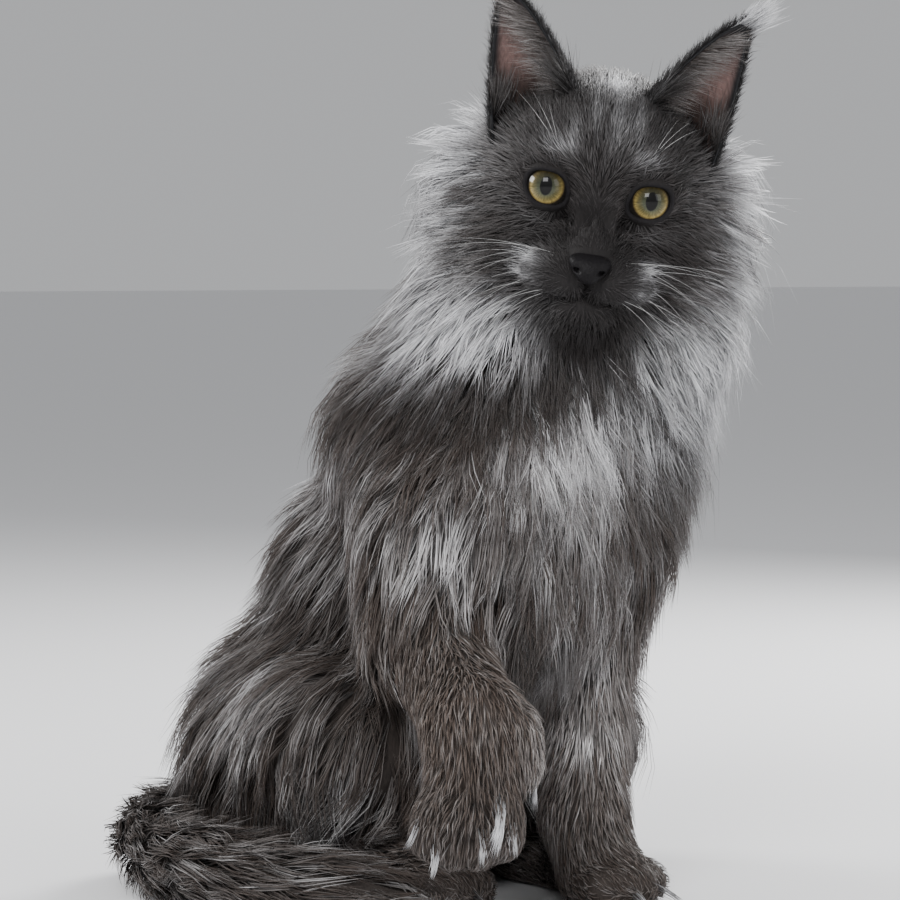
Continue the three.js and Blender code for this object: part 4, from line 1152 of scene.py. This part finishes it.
def nose_field(q):
    p = q - NOSE_CENTRE
    rise = np.clip(p[:, 2] / NOSE_HALF_HEIGHT, -1, 1)
    wide = NOSE_HALF_WIDTH * (0.68 + 0.32 * rise)
    x, y, z = p[:, 0] / wide, (p[:, 1] - 0.25 * p[:, 2]) / NOSE_DEPTH, p[:, 2] / NOSE_HALF_HEIGHT
    d = ((np.abs(x) ** 2.4 + np.abs(y) ** 2.2 + np.abs(z) ** 2.6) ** (1 / 2.4) - 1) * 5.5
    for side in (-1, 1):
        # The opening, and the slit that curls out of it along the wing of the nose
        hole = limb_distance(p, beside(side, (4.3, -7.6, -1.2)), beside(side, (5.8, -3, -0.2)), 1, 1.1)
        slit = limb_distance(p, beside(side, (5.2, -6.8, -0.4)), beside(side, (10.8, -2, 2)), 0.85, 0.5)
        d = smooth_cut(d, np.minimum(hole, slit), 0.8)
    cleft = limb_distance(p, np.array([0, -8, -7]), np.array([0, -8.2, 1.5]), 0.75, 0.3)
    return smooth_cut(d, cleft, 0.7)


nose_grid = (
    run_of(-15, NOSE_STEP, 15),
    run_of(-33, NOSE_STEP, -11),
    run_of(-41, NOSE_STEP, -22),
)
nose_corners = np.stack(np.meshgrid(*nose_grid, indexing="ij"), axis=-1).reshape(-1, 3)
nose_values = nose_field(nose_corners).reshape([len(t) for t in nose_grid])
nose_points, nose_quads = surface_net(nose_grid, nose_values)
nose = new_mesh("nose_leather", from_head(nose_points), nose_quads)
nose.data.materials.append(nose_material())
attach(nose, "root")
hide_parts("nose")


# Growth of the coat
SUNK = 0.8
SETTLE_MOST = 7
RISE_POWER = 0.62
STIFFNESS = 0.35
WAVE_STEP = 2.1
random = np.random.default_rng(SEED)


def grow(roots, out, lengths, steps, reach, spread, wave, head_detail=False):
    """Paths that follow the lie of the hair from the skin towards the coat's outline, each as far out
    towards it as reach."""
    count = len(roots)
    swerve = random.normal(0, 1, count) * spread
    phase = random.random(count) * 2 * math.pi
    path = [roots - out * SUNK]
    point = roots.copy()
    along = None
    for i in range(1, steps + 1):
        share = reach * (i / steps) ** RISE_POWER
        up = slope(point, share, head_detail)
        lie = coat_at(point)["lie"]
        flat = unit(lie - up * (lie * up).sum(axis=1)[:, None])
        aside = np.cross(up, flat)
        bend = swerve + wave * np.sin(phase + i * WAVE_STEP)
        flat = unit(flat + aside * bend[:, None])
        along = flat if along is None else unit(along * STIFFNESS + flat * (1 - STIFFNESS))
        point = point + along * (lengths / steps)[:, None]
        gap = np.clip(field(point, share, head_detail), -SETTLE_MOST, SETTLE_MOST)
        point = point - up * gap[:, None]
        point[:, 2] = np.maximum(point[:, 2], LEAST_HEIGHT + 0.6)
        path.append(point)
    return np.stack(path, axis=1)


# Painted shade along each hair: darker at the root, deep in the coat, and a little lighter at the tip
ROOT_PAINTED_SHADE = 0.5
TIP_PAINTED_LIGHT = 1.15
TIP_START = 0.7


def toned(points, tips, noise):
    """Colours along hairs: painted shade, dark at the root deep in the coat, lighter out to the tip. points
    is where each is seen most.
    """
    style = marked(points, coat_at(points))
    silver = np.clip(style["silver"] + noise, 0, 1)
    rows = []
    for t in tips:
        # Painted shade and light: darkened at the root, brightened at the tip
        light = mix(ROOT_PAINTED_SHADE, TIP_PAINTED_LIGHT, smooth_step(0, TIP_START, t))
        rows.append(hair_colour(silver * mix(0.75, 1.05, t), style["shade"], style["brown"]) * light)
    return np.stack(rows, axis=1)


# How far hairs keep from the eyes' openings and the nose leather, at their roots and further out
EYE_MARGINS = (0.7, 0.25)
NOSE_MARGINS = (0.6, 0.1)
SIGHT_RADIUS = 7.4
SIGHT_LENGTH = 40


def clear_of_eyes(paths):
    ok = np.ones(len(paths), bool)
    for i in range(paths.shape[1]):
        ok &= eye_clearance(paths[:, i]) > EYE_MARGINS[min(i, 1)]
    q = to_head(paths[:, -1])
    for side in (-1, 1):
        r = q - eye_centre(side)
        ahead = r @ gaze(side)
        aside = np.linalg.norm(r - ahead[:, None] * gaze(side), axis=1)
        ok &= ~((aside < SIGHT_RADIUS) & (ahead > 0) & (ahead < SIGHT_LENGTH))
    return ok


def clear_of_nose(paths):
    ok = np.ones(len(paths), bool)
    for i in range(paths.shape[1]):
        ok &= nose_field(to_head(paths[:, i])) > NOSE_MARGINS[min(i, 1)]
    return ok


def short_coat(name, kind, count, width, material, uneven):
    """Short hair, each one by itself."""
    weights = (triangle_kind == kind) & ~triangle_ear
    roots, out, uv, _ = roots_on(weights.astype(float), count, random)
    style = coat_at(roots)
    lengths = style["hair"] * random.uniform(0.75, 1.25, count)
    reach = random.uniform(0.45, 1.1, count)
    paths = grow(roots, out, lengths, 2, reach, 0.16, 0.1, True)
    keep = clear_of_eyes(paths) & clear_of_nose(paths)
    paths, out, uv, lengths = paths[keep], out[keep], uv[keep], lengths[keep]
    noise = random.normal(0, uneven, len(paths))
    colours = toned(paths[:, 1], (0, 0.6, 1), noise)
    wide = width * random.uniform(0.7, 1.25, len(paths)) * np.clip(lengths / 8, 0.7, 1.5)
    widths = wide[:, None] * np.array([0.8, 1, 0])
    add_coat(name, blades(paths, widths, out, colours, uv), material)


LONG_STEPS = 3
LOCK_SHARE = 0.75
STRAY_LEAN = 0.15
STRAY_SWAY = 1.7
LOCK_UNEVEN = 0.2
HAIR_UNEVEN = 0.12


def long_coat(name, kind, guides, hairs, width, material, clump, wave, outness=(0.4, 1.12)):
    """Long hair in pointed locks: guides are grown first, and each hair leans to the nearest of them.
    clump is how much it leans, and outness how far out towards the coat's outline the guides reach."""
    from_kind = ((triangle_kind == kind) & ~triangle_ear).astype(float)
    guide_roots, guide_out, _, _ = roots_on(from_kind, guides, random)
    style = coat_at(guide_roots)
    lengths = style["hair"] * random.uniform(0.75, 1.2, guides)
    reach = random.uniform(*outness, guides)
    lines = grow(guide_roots, guide_out, lengths, LONG_STEPS, reach, 0.2, wave * 0.25 * style["curl"])
    tree = tree_of(guide_roots)
    roots, out, uv, _ = roots_on(from_kind, hairs, random)
    near = np.array([tree.find(root)[1] for root in roots])
    offset = roots - guide_roots[near]
    lean = np.where(random.random(hairs) < LOCK_SHARE, clump, STRAY_LEAN)
    facing = (out * guide_out[near]).sum(axis=1) > 0.3
    t = np.linspace(0, 1, LONG_STEPS + 1)
    stretch = random.uniform(0.8, 1.12, hairs)
    base = lines[near]
    own = base[:, :1] + (base - base[:, :1]) * stretch[:, None, None]
    apart = 1 - lean[:, None] * smooth_step(0, 0.95, t)[None]
    sway = (1.6 - lean * 1.2) * STRAY_SWAY
    stray = random.normal(0, 1, (hairs, 1, 3)) * (t**1.5)[None, :, None] * sway[:, None, None]
    phase = random.random(hairs) * 2 * math.pi
    ripple = np.sin(t[None] * 7 + phase[:, None]) * (style["curl"][near] * 0.45)[:, None] * t[None]
    along = unit(base[:, -1] - base[:, 0])
    aside = unit(np.cross(out, along))
    paths = own + offset[:, None] * apart[..., None] + stray + aside[:, None] * ripple[..., None]
    paths[..., 2] = np.maximum(paths[..., 2], LEAST_HEIGHT + 0.5)
    keep = facing & clear_of_eyes(paths) & clear_of_nose(paths)
    paths, out, uv, near = paths[keep], out[keep], uv[keep], near[keep]
    noise = random.normal(0, LOCK_UNEVEN, guides)[near] + random.normal(0, HAIR_UNEVEN, len(paths))
    seen = paths[:, round(LONG_STEPS * 0.6)]
    colours = toned(seen, t, noise)
    wide = width * random.uniform(0.7, 1.3, len(paths))
    taper = mix(0.75, 1, smooth_step(0, 0.4, t)) * mix(1, 0.35, smooth_step(0.4, 1, t))
    add_coat(name, blades(paths, wide[:, None] * taper, out, colours, uv), material)


FACE_KIND, LEG_KIND, BODY_KIND, RUFF_KIND, TAIL_KIND = range(len(KINDS))
share = 1
short_coat("face_coat", FACE_KIND, int(23000 * share), 0.36, face_hair, 0.07)
short_coat("leg_coat", LEG_KIND, int(13500 * share), 0.5, body_hair, 0.14)
long_coat("ruff_coat", RUFF_KIND, 2400, int(28000 * share), 0.55, ruff_hair, 0.55, 0.8)
long_coat("wisps", RUFF_KIND, 500, 2600, 0.3, ruff_hair, 0.5, 1.0, (1.1, 1.55))
long_coat("body_coat", BODY_KIND, 2600, int(28000 * share), 0.6, body_hair, 0.6, 0.5)
long_coat("tail_coat", TAIL_KIND, 700, int(6500 * share), 0.6, body_hair, 0.6, 0.5)


# Ears: short hair on their backs, long fine hair across their openings, and the lynx tips
def ear_uv(points):
    """Bake map places of points on the ears: their nearest triangle's."""
    numbers = np.flatnonzero(triangle_ear)
    tree = tree_of(triangle_middle[numbers])
    nearest = [numbers[tree.find(point)[1]] for point in points]
    return triangle_uv[nearest].mean(axis=1)


def spray(roots, directions, lengths, widths, up, colours, bend, steps=3):
    """Free hairs from roots, each bending by its own bend vector towards its tip."""
    t = np.linspace(0, 1, steps + 1)[None, :, None]
    paths = roots[:, None] + directions[:, None] * (lengths[:, None, None] * t)
    paths = paths + bend[:, None] * t**2
    taper = np.linspace(1, 0.4, steps + 1)
    return paths, widths[:, None] * taper, up, colours


def add_hairs(name, groups, material):
    """Makes one coat of several groups of hairs with the same number of steps."""
    add_coat(name, (joined(groups, 0), groups[0][1], joined(groups, 2), joined(groups, 3)), material)


def ear_coat(side):
    axis = HEAD_AXES @ ear_axis(side)
    groups = []

    def hairs(t, c, way, length, width, silver, shade, brown=0.1, sway=0.12, lift=0.0, inwards=False):
        """Hairs from places on the ear's wall, out of its back or into its cup."""
        count = len(t)
        place, out = ear_surface(side, t, c)
        out = (out @ HEAD_AXES.T) * (-1 if inwards else 1)
        root = from_head(place) + out * EAR_THICKNESS * 0.3
        way = unit(way + out * lift + random.normal(0, sway, (count, 3)))
        lengths = length * random.uniform(0.7, 1.2, count)
        bend = random.normal(0, 1, (count, 3)) * (lengths * 0.08)[:, None]
        tones = np.clip(silver + random.normal(0, 0.15, count), 0, 1)
        shades, browns = np.full(count, shade), np.full(count, brown)
        # Painted shade: each hair is painted darker at its root, where the coat shades it, and lighter at its
        # tip
        near = hair_colour(tones * 0.8, shades, browns) * 0.6
        far = hair_colour(tones, shades, browns)
        colours = np.stack([near, mix(near, far, 0.8), far * 1.05], axis=1)
        widths = width * random.uniform(0.7, 1.2, count)
        groups.append(blades(*spray(root, way, lengths, widths, out, colours, bend, 2), ear_uv(root)))

    inner = 0 if side > 0 else 1
    n = int(2600 * share)
    t, c = random.random(n) ** 1.2, random.random(n)
    hairs(t, c, axis, length=7, width=0.5, silver=0.12, shade=0.35, lift=0.12)
    # Fringe of the rims
    n = 500
    t, c = random.random(n), np.where(random.random(n) < 0.5, 0.01, 0.99)
    hairs(t, c, axis, length=6, width=0.45, silver=0.15, shade=0.35, sway=0.25, lift=0.25)
    # Long pale hair from the inner rim across the opening
    n = 700
    t, c = random.uniform(0.1, 0.85, n), np.abs(inner - random.uniform(0.0, 0.3, n))
    middle, _ = ear_surface(side, t + 0.1, np.abs(inner - 0.9))
    start, _ = ear_surface(side, t, c)
    across = unit((middle - start) @ HEAD_AXES.T + axis * 5)
    hairs(t, c, across, length=19, width=0.26, silver=0.5, shade=0.45, brown=0.8, lift=0.3, inwards=True)
    # Tufts at the bases of the openings, dark ones on the inner side
    n = 420
    t, c = random.uniform(0.14, 0.3, n), np.abs(inner - random.uniform(0.02, 0.35, n))
    way = unit(axis * 0.8 + HEAD_AXES @ beside(side, (0.5, -0.35, 0)))
    hairs(t, c, way, length=24, width=0.5, silver=0.12, shade=0.3, brown=0.2, sway=0.2, inwards=True)
    n = 260
    t, c = random.uniform(0.14, 0.3, n), np.abs(1 - inner - random.uniform(0.02, 0.3, n))
    way = unit(axis + HEAD_AXES @ beside(side, (-0.25, -0.3, 0)))
    hairs(t, c, way, length=18, width=0.4, silver=0.3, shade=0.4, brown=0.4, sway=0.2, inwards=True)
    # Lynx tips: the left one is white
    n = 260
    t, c = random.uniform(0.9, 1.0, n), random.uniform(0.1, 0.9, n)
    way = unit(axis + HEAD_AXES @ beside(side, (0.55, 0, 0)))
    length, silver, shade = (19, 1, 1) if side > 0 else (13, 0.3, 0.4)
    hairs(t, c, way, length, width=0.5, silver=silver, shade=shade, brown=0, sway=0.1)
    name = "ear_coat_left" if side > 0 else "ear_coat_right"
    add_hairs(name, groups, ear_hair)


ear_coat(1)
ear_coat(-1)

# Tufts between the toes, at the dewclaw and along the elbow: root, way, length, spread, hairs, silver, shade,
# brown and hook
TUFTS = (
    ((-53, -118, 82), (0.1, -0.1, -1), 21, 2.2, 40, 0.95, 0.95, 0.2, (0, 0, 0)),  # dewclaw
    ((-57, -119, 90), (0.1, -0.4, -1), 10, 5, 90, 0.6, 0.8, 1.0, (0, 0, 0)),
    ((-78, -131, 70), (0.1, -0.25, -1), 27, 2.6, 55, 1.0, 1.0, 0.1, (-8, 2, 2)),  # hooked toe tuft
    ((-83, -126, 54), (0.1, -0.1, -1), 13, 2.2, 34, 0.9, 0.9, 0.1, (-2, 0, 0)),
    ((-70, -130, 58), (0.2, -0.1, -1), 14, 2.2, 34, 0.85, 0.85, 0.2, (-2, 0, 0)),
    ((-98, -112, 47), (-0.1, -0.1, -1), 12, 2, 26, 0.9, 0.85, 0.1, (-2, 0, 0)),
    ((-104, -104, 58), (-0.2, 0, -1), 11, 2, 22, 0.8, 0.8, 0.1, (-2, 0, 0)),
    ((78, -34, 16), (0.55, -0.7, -0.35), 15, 3, 60, 0.9, 0.9, 0.2, (0, 0, -3)),  # left hind toes
    ((66, -42, 16), (0.1, -0.9, -0.4), 11, 3, 40, 0.6, 0.8, 0.2, (0, 0, -2)),
    ((48, -92, 14), (0.2, -0.9, -0.5), 9, 3, 36, 0.6, 0.7, 0.2, (0, 0, -2)),  # left forepaw
    ((30, -94, 12), (0, -0.9, -0.5), 9, 3, 36, 0.5, 0.7, 0.2, (0, 0, -2)),
    ((-40, -62, 14), (0.1, -0.9, -0.4), 11, 3, 40, 0.5, 0.6, 0.4, (0, 0, -2)),  # right hind toes
    ((-60, -60, 118), (-0.1, 0.1, -1), 44, 7, 110, 0.5, 0.6, 0.5, (0, 4, 0)),  # feathers of the elbow
    ((-68, -78, 108), (-0.05, 0.1, -1), 38, 7, 100, 0.45, 0.6, 0.6, (0, 4, 0)),
    ((56, -22, 118), (0.25, 0.2, -1), 42, 8, 120, 0.6, 0.7, 0.3, (0, 4, 0)),
    ((0, -74, 158), (0, -0.05, -1), 60, 14, 200, 0.4, 0.5, 0.4, (0, 6, 0)),  # hanging from the breast
)


def tufts():
    tree = tree_of(triangle_middle)
    groups = []
    for root, way, length, spread, hairs, silver, shade, brown, hook in TUFTS:
        offset = random.normal(0, 0.5, (hairs, 3)) * spread
        roots = np.array(root, float) + offset
        near = np.array([tree.find(point)[1] for point in roots])
        # Each root goes back into the skin that it grows from
        roots = roots + (triangle_middle[near] - roots) * 0.9
        target = np.array(root, float) + unit(way) * length
        lengths = np.linalg.norm(target - roots, axis=1) * random.uniform(0.75, 1.05, hairs)
        ways = unit(target - roots + offset * 0.35)
        tone = np.clip(silver + random.normal(0, 0.12, hairs), 0, 1)
        far = hair_colour(tone, np.full(hairs, shade), np.full(hairs, brown))
        # Painted shade: each hair darker at its root and lighter at its tip
        colours = np.stack([far * 0.55, far * 0.85, far, far * 1.1], axis=1)
        bend = np.array(hook, float) + random.normal(0, 0.05, (hairs, 3)) * length
        widths = random.uniform(0.35, 0.6, hairs)
        made = spray(roots, ways, lengths, widths, triangle_out[near], colours, bend)
        groups.append(blades(*made, triangle_uv[near].mean(axis=1)))
    add_hairs("tufts", groups, body_hair)


tufts()


# Whiskers: lines of a few points each, made tubes by geometry nodes
def whisker_lines():
    """Each whisker's root and direction in the head's axes, its length and how far its tip sags."""
    lines = []
    for side in (-1, 1):
        for row in range(4):
            for column in range(3):
                base = beside(side, (16 + 4.5 * column, -12 + 5 * column, -31 - 3.2 * row))
                way = unit([side, 0.42 + 0.1 * column, 0.12 - 0.2 * row])
                length = random.uniform(40, 66) * (1 - 0.1 * row)
                lines.append((base, way, length, random.uniform(9, 20)))
        for brow in range(3):
            base = beside(side, (17 + 3 * brow, 8, 19 + brow))
            way = unit(beside(side, (0.35 + 0.25 * brow, 0.1, 1)))
            lines.append((base, way, random.uniform(22, 32), 5))
    return lines


def whisker_mesh():
    steps = 14
    points = []
    edges = []
    for base, way, length, sag in whisker_lines():
        root = settle(from_head(base)[None], lambda p: field(p, 0), rounds=6, most=3)[0]
        along = HEAD_AXES @ way
        for i in range(steps + 1):
            t = i / steps
            points.append(root + along * (length * t - 1) + np.array([0, 0, -sag]) * t**2)
            if i:
                edges.append((len(points) - 2, len(points) - 1))
    mesh = bpy.data.meshes.new("whisker_lines")
    mesh.from_pydata([tuple(p) for p in to_frame(points)], edges, [])
    return mesh


WHISKER_TIP = 0.12


def whisker_tree(material):
    """Lines turned into tubes that taper from Root Radius, with a number of Sides."""
    tree = bpy.data.node_groups.new("whiskers", "GeometryNodeTree")
    sockets = tree.interface
    sockets.new_socket("Geometry", in_out="INPUT", socket_type="NodeSocketGeometry")
    radius = sockets.new_socket("Root Radius", in_out="INPUT", socket_type="NodeSocketFloat")
    sides = sockets.new_socket("Sides", in_out="INPUT", socket_type="NodeSocketInt")
    sockets.new_socket("Geometry", in_out="OUTPUT", socket_type="NodeSocketGeometry")
    given = add_node(tree, "NodeGroupInput").outputs
    curve = add_node(tree, "GeometryNodeMeshToCurve", {"Mesh": given["Geometry"]})
    place = add_node(tree, "GeometryNodeSplineParameter").outputs["Factor"]
    taper = map_range(tree, place, 1, WHISKER_TIP)
    thick = add_node(tree, "ShaderNodeMath", {0: taper, 1: given["Root Radius"]}, operation="MULTIPLY")
    ring = add_node(tree, "GeometryNodeCurvePrimitiveCircle", {"Radius": 1, "Resolution": given["Sides"]})
    tube_inputs = {"Curve": curve.outputs["Curve"], "Profile Curve": ring.outputs["Curve"]}
    tube_inputs.update({"Scale": thick.outputs["Value"], "Fill Caps": True})
    tube = add_node(tree, "GeometryNodeCurveToMesh", tube_inputs)
    real = add_node(tree, "GeometryNodeRealizeInstances", {"Geometry": tube.outputs["Mesh"]})
    painted = {"Geometry": real.outputs["Geometry"], "Material": material}
    paint = add_node(tree, "GeometryNodeSetMaterial", painted)
    add_node(tree, "NodeGroupOutput", {"Geometry": paint.outputs["Geometry"]})
    return tree, radius.identifier, sides.identifier


def whisker_material():
    """Pale, glossy whiskers, a little darker in bands along their length."""
    material, tree, shader = new_material("whisker")
    noise = add_node(tree, "ShaderNodeTexNoise", {"Scale": 60, "Vector": object_place(tree)})
    bands = add_ramp(tree, noise.outputs["Fac"], (0, (0.16, 0.16, 0.16)), (1, (0.6, 0.6, 0.59)))
    feed(shader, {"Base Color": bands, "Roughness": 0.3})
    return material


WHISKER_RADIUS = 0.00012
WHISKER_SIDES = 5
raw = bpy.data.objects.new("whisker_raw", whisker_mesh())
bpy.context.scene.collection.objects.link(raw)
tree, radius_socket, sides_socket = whisker_tree(whisker_material())
modifier = raw.modifiers.new("whiskers", "NODES")
modifier.node_group = tree
modifier[radius_socket] = WHISKER_RADIUS
modifier[sides_socket] = WHISKER_SIDES
bpy.context.view_layer.update()
baked = bpy.data.meshes.new_from_object(raw.evaluated_get(bpy.context.evaluated_depsgraph_get()))
whiskers = bpy.data.objects.new("whiskers", baked)
bpy.context.scene.collection.objects.link(whiskers)
bpy.data.objects.remove(raw)
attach(whiskers, "root")

# Floor and light
FLOOR_SIZE = 60
FLOOR_COLOUR = (0.78, 0.78, 0.79, 1)
SKY_COLOUR = (0.80, 0.81, 0.83, 1)
SKY_STRENGTH = 0.6
LIT_HEIGHT = 0.22
bpy.ops.mesh.primitive_plane_add(size=FLOOR_SIZE, location=(0, 0, 0))
floor = bpy.context.object
floor.name = "floor"
floor_paint, _, floor_shader = new_material("floor")
feed(floor_shader, {"Base Color": FLOOR_COLOUR, "Roughness": 0.7})
floor.data.materials.append(floor_paint)

world = bpy.data.worlds.new("studio")
bpy.context.scene.world = world
world.use_nodes = True
feed(world.node_tree.nodes["Background"], {"Color": SKY_COLOUR, "Strength": SKY_STRENGTH})


def soft_light(name, place, size, power):
    """A square light that faces the cat."""
    light = bpy.data.lights.new(name, "AREA")
    light.shape = "SQUARE"
    light.size = size
    light.energy = power
    lamp = bpy.data.objects.new(name, light)
    lamp.location = place
    lamp.rotation_euler = (Vector((0, 0, LIT_HEIGHT)) - Vector(place)).to_track_quat("-Z", "Y").to_euler()
    bpy.context.scene.collection.objects.link(lamp)


soft_light("key", (-1.4, -1.3, 1.35), 0.9, 40)
soft_light("fill", (0.6, -1.9, 0.8), 1.2, 15)
soft_light("rim left", (1.35, 0.5, 0.95), 0.6, 36)
soft_light("rim right", (-1.1, 1.2, 1.0), 0.6, 30)

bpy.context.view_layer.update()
